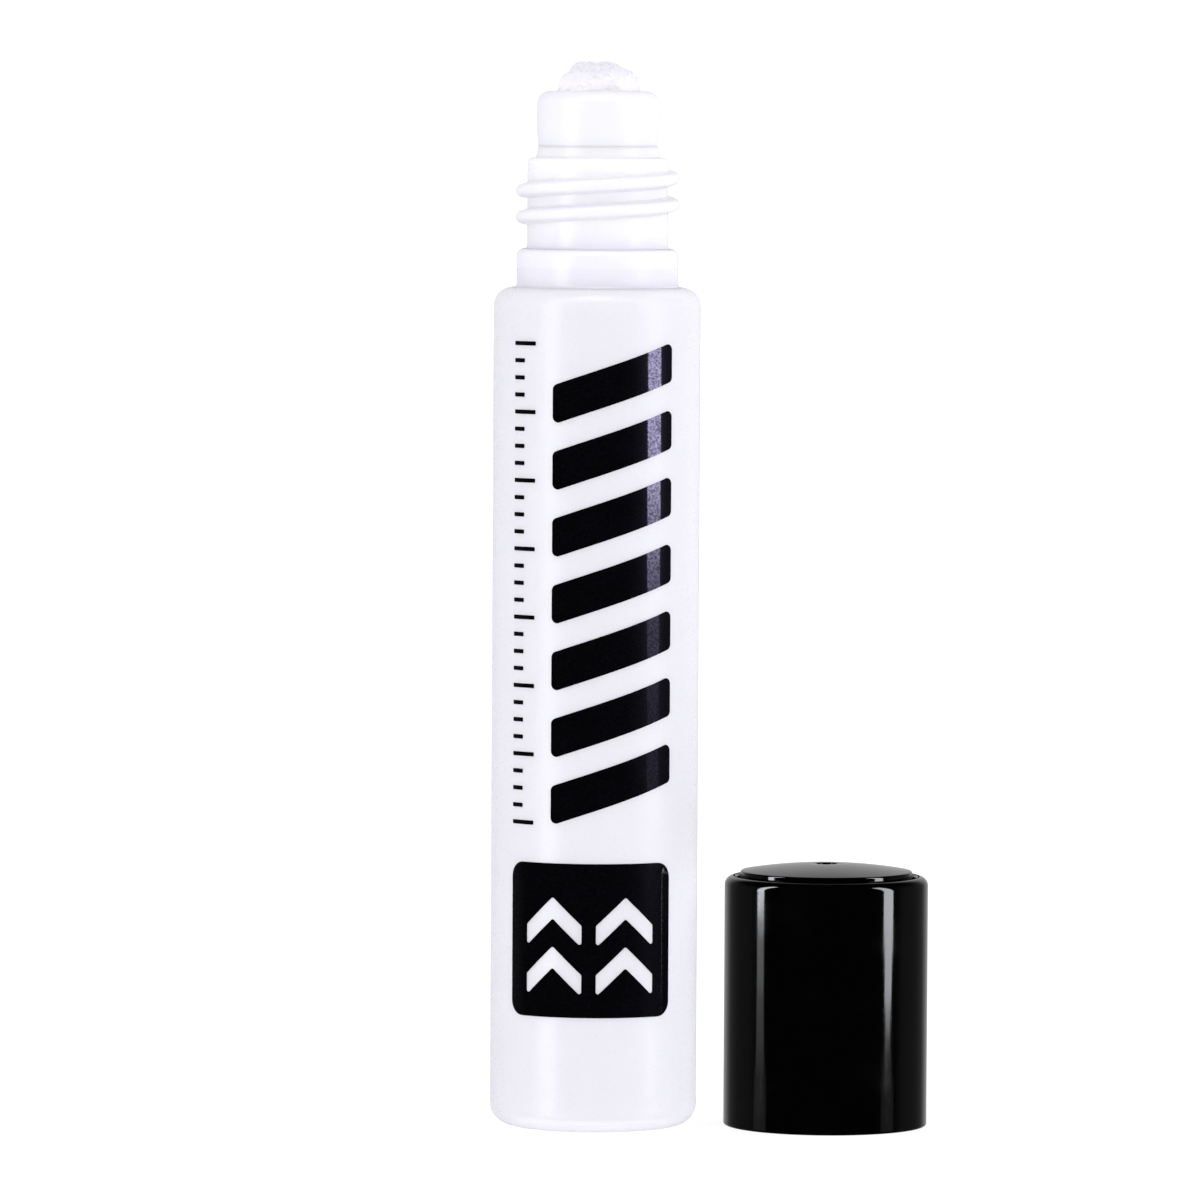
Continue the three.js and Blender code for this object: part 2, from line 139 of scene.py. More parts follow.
class Shader:
    """The node tree of a material or of the world, written as expressions."""

    def __init__(self, owner: bpy.types.Material | bpy.types.World) -> None:
        """Starts an empty node tree.

        Args:
            owner: The material or world that the nodes belong to.
        """
        self.owner = owner
        self.owner.use_nodes = True
        self.tree = self.owner.node_tree
        self.tree.nodes.clear()

    def node(
        self, kind: str, settings: dict | None = None, values: dict | None = None, out: int | str = 0
    ) -> Wire:
        """Adds a node.

        Args:
            kind: The node's type.
            settings: The node's own options, which are set first.
            values: What its sockets get, by name or number: a Wire, or a constant.
            out: Which output is used, by number or name.

        Returns:
            The chosen output.
        """
        made = self.tree.nodes.new(kind)
        for name, value in (settings or {}).items():
            setattr(made, name, value)
        for key, value in (values or {}).items():
            socket = made.inputs[key]
            if isinstance(value, Wire):
                self.tree.links.new(value.socket, socket)
            else:
                socket.default_value = value
        return Wire(self, made.outputs[out])

    def math(self, operation: str, *values: Value) -> Wire:
        """A Math node on one or more values."""
        return self.node("ShaderNodeMath", {"operation": operation}, dict(enumerate(values)))

    def place(self, along_z: float = 1.0) -> Wire:
        """The piece's own coordinates in metres, with Z times a factor."""
        here = self.node("ShaderNodeTexCoord", out="Object")
        return self.node("ShaderNodeVectorMath", {"operation": "MULTIPLY"}, {0: here, 1: (1, 1, along_z)})

    def part(self, vector: Wire, axis: int) -> Wire:
        """One of a vector's numbers: 0 for X, 1 for Y or 2 for Z."""
        return self.node("ShaderNodeSeparateXYZ", None, {0: vector}, out=axis)

    def clouds(self, size: float, detail: float = 2.0, along_z: float = 1.0) -> Wire:
        """Cloudy noise from 0 to 1.

        Args:
            size: About how wide a cloud is, in millimetres.
            detail: How many finer layers it has.
            along_z: The factor on Z. Below 1, the clouds stand tall.

        Returns:
            The noise value.
        """
        values = {"Vector": self.place(along_z), "Scale": 1 / (size * MM), "Detail": detail}
        return self.node("ShaderNodeTexNoise", None, values)

    def tint(self, amount: Value, low: Wire | Colour, high: Wire | Colour) -> Wire:
        """One colour turning into another.

        Args:
            amount: How far it has turned, from 0 to 1.
            low: The colour at 0.
            high: The colour at 1.

        Returns:
            The colour in between.
        """
        low, high = (end if isinstance(end, Wire) else (*end, 1) for end in (low, high))
        # Of a Mix node's sockets, 6 and 7 take colours and output 2 gives one.
        return self.node("ShaderNodeMix", {"data_type": "RGBA"}, {0: amount, 6: low, 7: high}, out=2)

    def bump(self, height: Wire, depth: float) -> Wire:
        """The normal bent by a height from 0 to 1, where 1 stands for a depth in millimetres."""
        values = {"Strength": 1.0, "Distance": depth * MM, "Height": height}
        return self.node("ShaderNodeBump", None, values)

    def end(self, kind: str, shaded: Wire) -> None:
        """Ends the tree in an output node of one kind."""
        output = self.tree.nodes.new(kind)
        self.tree.links.new(shaded.socket, output.inputs["Surface"])

    def surface(self, **sockets: Value) -> bpy.types.Material:
        """Ends the tree in a Principled shader.

        Args:
            sockets: What its sockets get, by name with _ for each space.

        Returns:
            The finished material.
        """
        values = {name.replace("_", " "): value for name, value in sockets.items()}
        self.end("ShaderNodeOutputMaterial", self.node("ShaderNodeBsdfPrincipled", None, values))
        return self.owner


@dataclass(frozen=True)
class SqueezePlastic:
    """Milky, see-through polyethylene, blown into a mould: satin, with faint upright flow lines.

    Its wall lets light through most in the body and least round the plug. The neck is painted
    lighter than the body against the shade between the thread's thick beads, the creases at the
    beads' feet get more painted light, and the beads' crests get painted shade. Lengths are in
    millimetres.
    """

    name: str = "squeeze_plastic"
    pale: Colour = (0.885, 0.875, 0.965)
    deep: Colour = (0.85, 0.84, 0.94)
    # Painted light on the neck's wall and in the creases at the beads' feet, against the shade there;
    # painted shade on the beads' crests.
    painted_neck_light: Colour = (0.92, 0.91, 0.985)
    painted_crease_light: Colour = (1.0, 0.99, 1.0)
    bead: Colour = (0.85, 0.84, 0.93)
    valley_radius: float = 8.51
    crease_radius: float = 8.65
    bead_radius: float = 9.5
    thread_from: float = 107.2
    thread_to: float = 109.0
    alpha: float = 0.84
    collar_alpha: float = 0.07
    plug_alpha: float = 0.05
    collar_from: float = 99.5
    collar_to: float = 101.8
    plug_from: float = 103.4
    plug_to: float = 103.8
    flow_size: float = 2.4
    flow_along_z: float = 0.06
    milk_size: float = 9.0
    milk_along_z: float = 0.4
    milk_share: float = 0.5
    grain_size: float = 0.18
    roughness: float = 0.28
    unevenness: float = 0.05
    relief: float = 0.01
    flow_relief: float = 0.8
    ior: float = 1.51
    subsurface: float = 0.6
    scatter: Colour = (0.0014, 0.0014, 0.0016)

    def material(self) -> bpy.types.Material:
        """Makes the material.

        Returns:
            The finished material.
        """
        shader = Shader(bpy.data.materials.new(self.name))
        flow = shader.clouds(self.flow_size, along_z=self.flow_along_z)
        milk = shader.clouds(self.milk_size, along_z=self.milk_along_z)
        grain = shader.clouds(self.grain_size)
        height = shader.part(shader.place(), 2)
        collar = height.ramp(self.collar_from * MM, self.collar_to * MM)
        plug = height.ramp(self.plug_from * MM, self.plug_to * MM)
        level = shader.place(0.0)
        radius = shader.node("ShaderNodeVectorMath", {"operation": "LENGTH"}, {0: level}, out="Value")
        crease_light_mask = radius.ramp(self.valley_radius * MM, self.crease_radius * MM)
        bead_shade_mask = radius.ramp(self.crease_radius * MM, self.bead_radius * MM)
        threaded = height.ramp(self.thread_from * MM, self.thread_to * MM)
        body = shader.tint(flow.mixed(milk, self.milk_share), self.deep, self.pale)
        # The neck's tint is painted light and shade: a paler wall and creases, and darker bead crests.
        neck = shader.tint(bead_shade_mask, shader.tint(crease_light_mask, self.painted_neck_light, self.painted_crease_light), self.bead)
        return shader.surface(
            Base_Color=shader.tint(threaded, body, neck),
            Roughness=self.roughness + (grain - 0.5) * self.unevenness,
            Normal=shader.bump(grain.mixed(flow, self.flow_relief), self.relief),
            Alpha=self.alpha + collar * self.collar_alpha + plug * self.plug_alpha,
            IOR=self.ior,
            Subsurface_Weight=self.subsurface,
            Subsurface_Radius=self.scatter,
            Subsurface_Scale=1.0,
        )


@dataclass(frozen=True)
class MouldedPlastic:
    """Injection-moulded plastic, solid in colour, with a fine satin grain."""

    name: str
    pale: Colour
    deep: Colour
    roughness: float
    subsurface: float = 0.0
    cloud_size: float = 3.5
    grain_size: float = 0.12
    unevenness: float = 0.14
    relief: float = 0.006
    ior: float = 1.5
    scatter: Colour = (0.0012, 0.0012, 0.0014)

    def material(self) -> bpy.types.Material:
        """Makes the material.

        Returns:
            The finished material.
        """
        shader = Shader(bpy.data.materials.new(self.name))
        grain = shader.clouds(self.grain_size)
        return shader.surface(
            Base_Color=shader.tint(shader.clouds(self.cloud_size), self.deep, self.pale),
            Roughness=self.roughness + (grain - 0.5) * self.unevenness,
            Normal=shader.bump(grain, self.relief),
            IOR=self.ior,
            Subsurface_Weight=self.subsurface,
            Subsurface_Radius=self.scatter,
            Subsurface_Scale=1.0,
        )


@dataclass(frozen=True)
class GlossPlastic:
    """Polished black plastic: a soft ripple left by the mould, and rubbed patches that shine less."""

    name: str = "cap_gloss"
    colour: Colour = (0.0006, 0.0006, 0.0008)
    worn: Colour = (0.0014, 0.0014, 0.0018)
    ripple_size: float = 5.0
    ripple_along_z: float = 0.5
    rub_size: float = 7.0
    speck_size: float = 0.35
    hair_size: float = 0.5
    hair_along_z: float = 0.08
    roughness: float = 0.06
    rub_roughness: float = 0.04
    hair_roughness: float = 0.03
    speck_roughness: float = 0.04
    relief: float = 0.018
    speck_relief: float = 0.03
    rub_edges: Span = (0.52, 0.75)
    speck_edges: Span = (0.62, 0.72)
    hair_edges: Span = (0.6, 0.72)
    ior: float = 1.5

    def material(self) -> bpy.types.Material:
        """Makes the material.

        Returns:
            The finished material.
        """
        shader = Shader(bpy.data.materials.new(self.name))
        ripple = shader.clouds(self.ripple_size, detail=1.0, along_z=self.ripple_along_z)
        rubbed = shader.clouds(self.rub_size, detail=4.0).ramp(*self.rub_edges)
        speck = shader.clouds(self.speck_size).ramp(*self.speck_edges)
        hair = shader.clouds(self.hair_size, detail=3.0, along_z=self.hair_along_z)
        hair = hair.ramp(*self.hair_edges)
        dulled = rubbed * self.rub_roughness + hair * self.hair_roughness + speck * self.speck_roughness
        return shader.surface(
            Base_Color=shader.tint(rubbed, self.colour, self.worn),
            Roughness=self.roughness + dulled,
            Normal=shader.bump(ripple.mixed(speck, self.speck_relief), self.relief),
            IOR=self.ior,
        )


@dataclass(frozen=True)
class PrintInk:
    """Screen-printed black ink: a gloss that is broken up by a fine mesh grain."""

    name: str = "print_ink"
    colour: Colour = (0.0006, 0.0005, 0.001)
    thin: Colour = (0.003, 0.0025, 0.005)
    grain_size: float = 0.28
    grain_edges: Span = (0.32, 0.66)
    patch_size: float = 4.0
    roughness: float = 0.3
    unevenness: float = 0.1
    specular: float = 0.05
    gloss: float = 0.3
    gloss_roughness: float = 0.06
    gloss_ior: float = 1.5
    relief: float = 0.003
    patch_relief: float = 0.5

    def material(self) -> bpy.types.Material:
        """Makes the material.

        Returns:
            The finished material.
        """
        shader = Shader(bpy.data.materials.new(self.name))
        grain = shader.clouds(self.grain_size).ramp(*self.grain_edges)
        patch = shader.clouds(self.patch_size, detail=3.0)
        return shader.surface(
            Base_Color=shader.tint(grain * patch, self.colour, self.thin),
            Roughness=self.roughness + patch * self.unevenness,
            Specular_IOR_Level=self.specular,
            Coat_Weight=self.gloss + grain * (1 - self.gloss),
            Coat_Roughness=self.gloss_roughness,
            Coat_IOR=self.gloss_ior,
            Normal=shader.bump(grain.mixed(patch, self.patch_relief), self.relief),
        )


@dataclass(frozen=True)
class Felt:
    """Pressed white fibres: matt, mottled and pitted; darker at the top, with painted light at the base.
    """

    name: str = "felt"
    pale: Colour = (0.95, 0.93, 0.95)
    deep: Colour = (0.76, 0.75, 0.82)
    # Between these heights the felt turns from its pale base, painted light against the shade of the cup's
    # rim, to darker towards the top.
    painted_light_fades_from: float = 125.0
    painted_light_fades_to: float = 128.2
    mottling: float = 0.15
    mottle_edges: Span = (0.3, 0.62)
    tuft_size: float = 0.5
    strand_size: float = 0.12
    strand_share: float = 0.4
    roughness: float = 0.9
    relief: float = 0.12
    tuft_relief: float = 0.4
    specular: float = 0.15
    sheen: float = 0.3
    sheen_roughness: float = 0.6

    def material(self) -> bpy.types.Material:
        """Makes the material.

        Returns:
            The finished material.
        """
        shader = Shader(bpy.data.materials.new(self.name))
        tuft = shader.clouds(self.tuft_size, detail=3.0)
        strand = shader.clouds(self.strand_size, detail=3.0)
        # Painted light at the base, fading out up the dome.
        painted_base_light = 1 - shader.part(shader.place(), 2).ramp(self.painted_light_fades_from * MM, self.painted_light_fades_to * MM)
        mottle = tuft.mixed(strand, self.strand_share).ramp(*self.mottle_edges)
        return shader.surface(
            Base_Color=shader.tint(painted_base_light.mixed(mottle, self.mottling), self.deep, self.pale),
            Roughness=self.roughness + strand * (1 - self.roughness),
            Normal=shader.bump(strand.mixed(tuft, self.tuft_relief), self.relief),
            Specular_IOR_Level=self.specular,
            Sheen_Weight=self.sheen,
            Sheen_Roughness=self.sheen_roughness,
        )


@dataclass(frozen=True)
class SpringSteel:
    """Bright drawn stainless wire."""

    name: str = "spring_steel"
    pale: Colour = (0.72, 0.73, 0.76)
    deep: Colour = (0.5, 0.51, 0.54)
    grain_size: float = 0.15
    roughness: float = 0.2
    unevenness: float = 0.15
    relief: float = 0.004

    def material(self) -> bpy.types.Material:
        """Makes the material.

        Returns:
            The finished material.
        """
        shader = Shader(bpy.data.materials.new(self.name))
        drawn = shader.clouds(self.grain_size, detail=3.0)
        return shader.surface(
            Base_Color=shader.tint(drawn, self.deep, self.pale),
            Roughness=self.roughness + drawn * self.unevenness,
            Normal=shader.bump(drawn, self.relief),
            Metallic=1.0,
        )


@dataclass(frozen=True)
class StudioPaper:
    """The plain pale sheet that the object stands on, lit through so that shadows on it stay faint."""

    name: str = "studio_paper"
    pale: Colour = (0.99, 0.99, 0.99)
    deep: Colour = (0.975, 0.975, 0.98)
    grey: Colour = (0.3, 0.3, 0.3)
    cloud_size: float = 40.0
    glow: float = 0.82
    roughness: float = 0.9

    def material(self) -> bpy.types.Material:
        """Makes the material.

        Returns:
            The finished material.
        """
        shader = Shader(bpy.data.materials.new(self.name))
        return shader.surface(
            Base_Color=(*self.grey, 1),
            Emission_Color=shader.tint(shader.clouds(self.cloud_size), self.deep, self.pale),
            Emission_Strength=self.glow,
            Roughness=self.roughness,
            Specular_IOR_Level=0.0,
        )


# Outlines


def rounded(
    corners: list[Corner], closed: bool = False, steps: int = 8, hold: float = HOLD_DISTANCE
) -> list[Point]:
    """Rounds the corners of an outline. Where two of them need the same straight, they share it.

    Args:
        corners: Each corner's two places and its radius, all in millimetres.
        closed: Whether the last corner runs on to the first.
        steps: How many pieces a round corner has.
        hold: How far from a round corner the straight beside it gets a point of its own, so that
            the shading of the straight stays flat.

    Returns:
        The outline's points.
    """
    points: list[Point] = []
    count = len(corners)
    spots = [Vector(corner[:2]) for corner in corners]
    wanted = []
    for index, (_, _, radius) in enumerate(corners):
        before, after = spots[index - 1] - spots[index], spots[(index + 1) % count] - spots[index]
        at_end = not closed and index in (0, count - 1)
        wanted.append(0.0 if at_end or radius <= 0 else radius / math.tan(before.angle(after) / 2))
    for index, here in enumerate(spots):
        if wanted[index] <= 0:
            points.append(tuple(here))
            continue
        before, after = spots[index - 1] - here, spots[(index + 1) % count] - here
        room_before = STRAIGHT_SHARE * before.length / (wanted[index] + wanted[index - 1])
        room_after = STRAIGHT_SHARE * after.length / (wanted[index] + wanted[(index + 1) % count])
        reach = wanted[index] * min(1.0, room_before, room_after)
        half = before.angle(after) / 2
        radius = reach * math.tan(half)
        start, end = before.normalized(), after.normalized()
        centre = here + (start + end).normalized() * (radius / math.sin(half))
        first = here + start * reach - centre
        sweep = first.angle_signed(here + end * reach - centre)
        if before.length - reach > HOLDS_PER_STRAIGHT * hold:
            points.append(tuple(here + start * (reach + hold)))
        for step in range(steps + 1):
            turned = Matrix.Rotation(-sweep * step / steps, 2) @ first
            points.append(tuple(centre + turned))
        if after.length - reach > HOLDS_PER_STRAIGHT * hold:
            points.append(tuple(here + end * (reach + hold)))
    return points


def between(start: Point, end: Point, pieces: int) -> list[Point]:
    """The points that cut a straight into equal pieces, without its ends."""
    return [tuple(Vector(start).lerp(Vector(end), step / pieces)) for step in range(1, pieces)]


def rows(outline: list[Point], bottom: float, top: float, spacing: float) -> list[Point]:
    """Adds points to an outline's long straights between two heights.

    Args:
        outline: The outline's points.
        bottom: The lower height.
        top: The upper height.
        spacing: How far apart the new points are.

    Returns:
        The outline with the points added.
    """
    made = [outline[0]]
    for start, end in zip(outline, outline[1:]):
        low, high = sorted((start[1], end[1]))
        if low >= bottom and high <= top and high - low > spacing:
            made += between(start, end, math.ceil((high - low) / spacing))
        made.append(end)
    return made


# Meshes


def turn(
    outline: list[Point], centre: float = 0.0, sides: int = 128, closed: bool = False
) -> bmesh.types.BMesh:
    """Turns an outline into a round solid.

    Args:
        outline: Its section as radius and height, in millimetres.
        centre: How far its axis lies along +X from the bottle's, in millimetres.
        sides: How many sides it has.
        closed: Whether the section closes on itself, away from the axis.

    Returns:
        The mesh, in metres.
    """
    made = bmesh.new()
    spots = [made.verts.new((radius * MM, 0, height * MM)) for radius, height in outline]
    lines = [made.edges.new(pair) for pair in zip(spots, spots[1:])]
    if closed:
        lines.append(made.edges.new((spots[-1], spots[0])))
    bmesh.ops.spin(
        made, geom=spots + lines, cent=(0, 0, 0), axis=(0, 0, 1), dvec=(0, 0, 0),
        angle=FULL_TURN, steps=sides, use_merge=True, use_normal_flip=False, use_duplicate=False,
    )
    bmesh.ops.remove_doubles(made, verts=made.verts[:], dist=MERGE_DISTANCE)
    bmesh.ops.recalc_face_normals(made, faces=made.faces[:])
    bmesh.ops.translate(made, verts=made.verts[:], vec=(centre * MM, 0, 0))
    return made


def slab(outlines: list[list[Point]], thickness: float) -> bmesh.types.BMesh:
    """Makes a flat plate that faces -Y, with holes where one outline lies in another.

    Args:
        outlines: Closed outlines as places across and up, in millimetres.
        thickness: How thick the plate is, in millimetres.

    Returns:
        The mesh, in millimetres.
    """
    made = bmesh.new()
    edges = []
    for outline in outlines:
        spots = [made.verts.new((across, 0, up)) for across, up in outline]
        edges += [made.edges.new((spots[i - 1], spots[i])) for i in range(len(spots))]
    bmesh.ops.triangle_fill(made, use_beauty=True, use_dissolve=False, edges=edges)
    grown = bmesh.ops.extrude_face_region(made, geom=made.faces[:], use_keep_orig=True)
    front = [item for item in grown["geom"] if isinstance(item, bmesh.types.BMVert)]
    bmesh.ops.translate(made, verts=front, vec=(0, -thickness, 0))
    bmesh.ops.recalc_face_normals(made, faces=made.faces[:])
    return made


def cut(piece: bpy.types.Object, tool: bpy.types.Object) -> None:
    """Cuts one piece with another and deletes the tool.

    Args:
        piece: The piece, which keeps what lies outside the tool.
        tool: The piece that cuts it.
    """
    change = piece.modifiers.new("cut", "BOOLEAN")
    change.operation = "DIFFERENCE"
    change.solver = "EXACT"
    change.object = tool
    shape = piece.evaluated_get(bpy.context.evaluated_depsgraph_get())
    old = piece.data
    piece.data = bpy.data.meshes.new_from_object(shape)
    piece.modifiers.clear()
    bpy.data.meshes.remove(old)
    bpy.data.objects.remove(tool)


def show(
    name: str, made: bmesh.types.BMesh, finish: bpy.types.Material, sharp: float = 35.0
) -> bpy.types.Object:
    """Turns a mesh into a smooth-shaded object of the scene.

    Args:
        name: The object's name.
        made: Its mesh, in metres.
        finish: Its material.
        sharp: Edges that turn more than this many degrees stay crisp.

    Returns:
        The object, at the origin.
    """
    for face in made.faces:
        face.smooth = True
    for edge in made.edges:
        edge.smooth = not (edge.is_manifold and edge.calc_face_angle() > math.radians(sharp))
    mesh = bpy.data.meshes.new(name)
    made.to_mesh(mesh)
    made.free()
    mesh.materials.append(finish)
    piece = bpy.data.objects.new(name, mesh)
    bpy.context.scene.collection.objects.link(piece)
    return piece


def seat(piece: bpy.types.Object, body: Body, slot: str, *nodes: str) -> bpy.types.Object:
    """Fixes a piece to its body, hides the CAD nodes that it stands for, and logs it.

    Args:
        piece: The piece.
        body: The body that it moves with.
        slot: Not used.
        nodes: The CAD nodes that it stands for.

    Returns:
        The piece.
    """
    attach(piece, body.value)
    if nodes:
        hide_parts(*nodes)
    log.info("%s: %d faces, moves with %s", piece.name, len(piece.data.polygons), body.value)
    return piece


@dataclass(frozen=True)
class Thread:
    """A rounded bead that winds up a round wall to the right."""

    pitch: float
    depth: float
    half_width: float
    bottom: float
    start_turn: float
    turns: float
    fade_turns: float
    fullness: float = 2.6
    smoothing: float = 0.4
    smoothings: int = 2

    def height_at(self, angle: float, height: float) -> float:
        """Works out how far the bead stands out of the wall.

        Args:
            angle: The angle round the axis, in radians.
            height: The height up the axis, in millimetres.

        Returns:
            The bead's height over the wall, in millimetres.
        """
        tallest = 0.0
        around = (angle / FULL_TURN - self.start_turn) % 1.0
        for lap in range(math.ceil(self.turns) + 1):
            turn_count = around + lap
            if turn_count > self.turns:
                break
            away = abs(height - self.bottom - self.pitch * turn_count) / self.half_width
            if away >= 1:
                continue
            fade = min(1.0, turn_count / self.fade_turns, (self.turns - turn_count) / self.fade_turns)
            fade = fade * fade * (3 - 2 * fade)
            tallest = max(tallest, self.depth * fade * math.sqrt(1 - away ** self.fullness))
        return tallest

    def raise_on(self, made: bmesh.types.BMesh, centre: float, wall: float, outwards: bool) -> None:
        """Raises the bead on the part of a turned mesh that lies on a given wall.

        Args:
            made: The turned mesh, in metres.
            centre: How far its axis lies along +X, in millimetres.
            wall: The wall's radius, in millimetres.
            outwards: Whether the bead stands away from the axis.
        """
        lowest = self.bottom - self.half_width
        highest = self.bottom + self.pitch * self.turns + self.half_width
        touched = []
        for spot in made.verts:
            across, height = spot.co.x / MM - centre, spot.co.z / MM
            radius = math.hypot(across, spot.co.y / MM)
            if lowest <= height <= highest and abs(radius - wall) < WALL_TOLERANCE:
                touched.append(spot)
                angle = math.atan2(spot.co.y / MM, across)
                grown = self.height_at(angle, height) * (1 if outwards else -1)
                spot.co.x = (centre + (wall + grown) * math.cos(angle)) * MM
                spot.co.y = (wall + grown) * math.sin(angle) * MM
        for _ in range(self.smoothings):
            bmesh.ops.smooth_vert(
                made, verts=touched, factor=self.smoothing,
                use_axis_x=True, use_axis_y=True, use_axis_z=False,
            )


# The marker


@dataclass
class Bottle:
    """The squeeze bottle: body, shoulder, collar, threaded neck and lip, with a real wall."""

    body: float = 12.475
    wall: float = 1.1
    floor: float = 1.4
    foot_corner: float = 2.6
    floor_corner: float = 0.7
    shoulder: float = 101.2
    shoulder_corner: float = 2.7
    collar: float = 9.75
    collar_top: float = 105.85
    collar_corner: float = 0.9
    collar_root: float = 0.5
    neck: float = 8.5
    neck_top: float = 116.8
    neck_corner: float = 0.6
    neck_root: float = 0.45
    lip: float = 7.5
    lip_taper: float = 0.3
    lip_top: float = 118.2
    lip_root: float = 0.2
    bore: float = 6.4
    bore_corner: float = 0.4
    bore_root: float = 0.5
    sides: int = 192
    row: float = 0.08
    thread: Thread = Thread(
        pitch=3.175, depth=1.37, half_width=0.9, bottom=109.15, start_turn=0.35, turns=1.8, fade_turns=0.09
    )

    def outline(self) -> list[Point]:
        """Draws the section, up the outside and down the inside.

        Returns:
            The outline's points.
        """
        inside = self.body - self.wall
        under_shoulder = self.shoulder - self.wall
        corners = [
            (0, 0, 0),
            (self.body, 0, self.foot_corner),
            (self.body, self.shoulder, self.shoulder_corner),
            (self.collar, self.shoulder, self.collar_root),
            (self.collar, self.collar_top, self.collar_corner),
            (self.neck, self.collar_top, self.neck_root),
            (self.neck, self.neck_top, self.neck_corner),
            (self.lip, self.neck_top, self.lip_root),
            (self.lip - self.lip_taper, self.lip_top, 0),
            (self.bore, self.lip_top, self.bore_corner),
            (self.bore, under_shoulder, self.bore_root),
            (inside, under_shoulder, self.shoulder_corner - self.wall),
            (inside, self.floor, self.floor_corner),
            (0, self.floor, 0),
        ]
        return rows(rounded(corners), self.collar_top, self.neck_top, self.row)

    def build(self) -> None:
        """Makes the bottle."""
        made = turn(self.outline(), sides=self.sides)
        self.thread.raise_on(made, 0.0, self.neck, outwards=True)
        piece = show("squeeze_bottle", made, SqueezePlastic().material(), THREAD_SHARP)
        seat(piece, Body.BOTTLE, "bottle_plastic", "bottle")


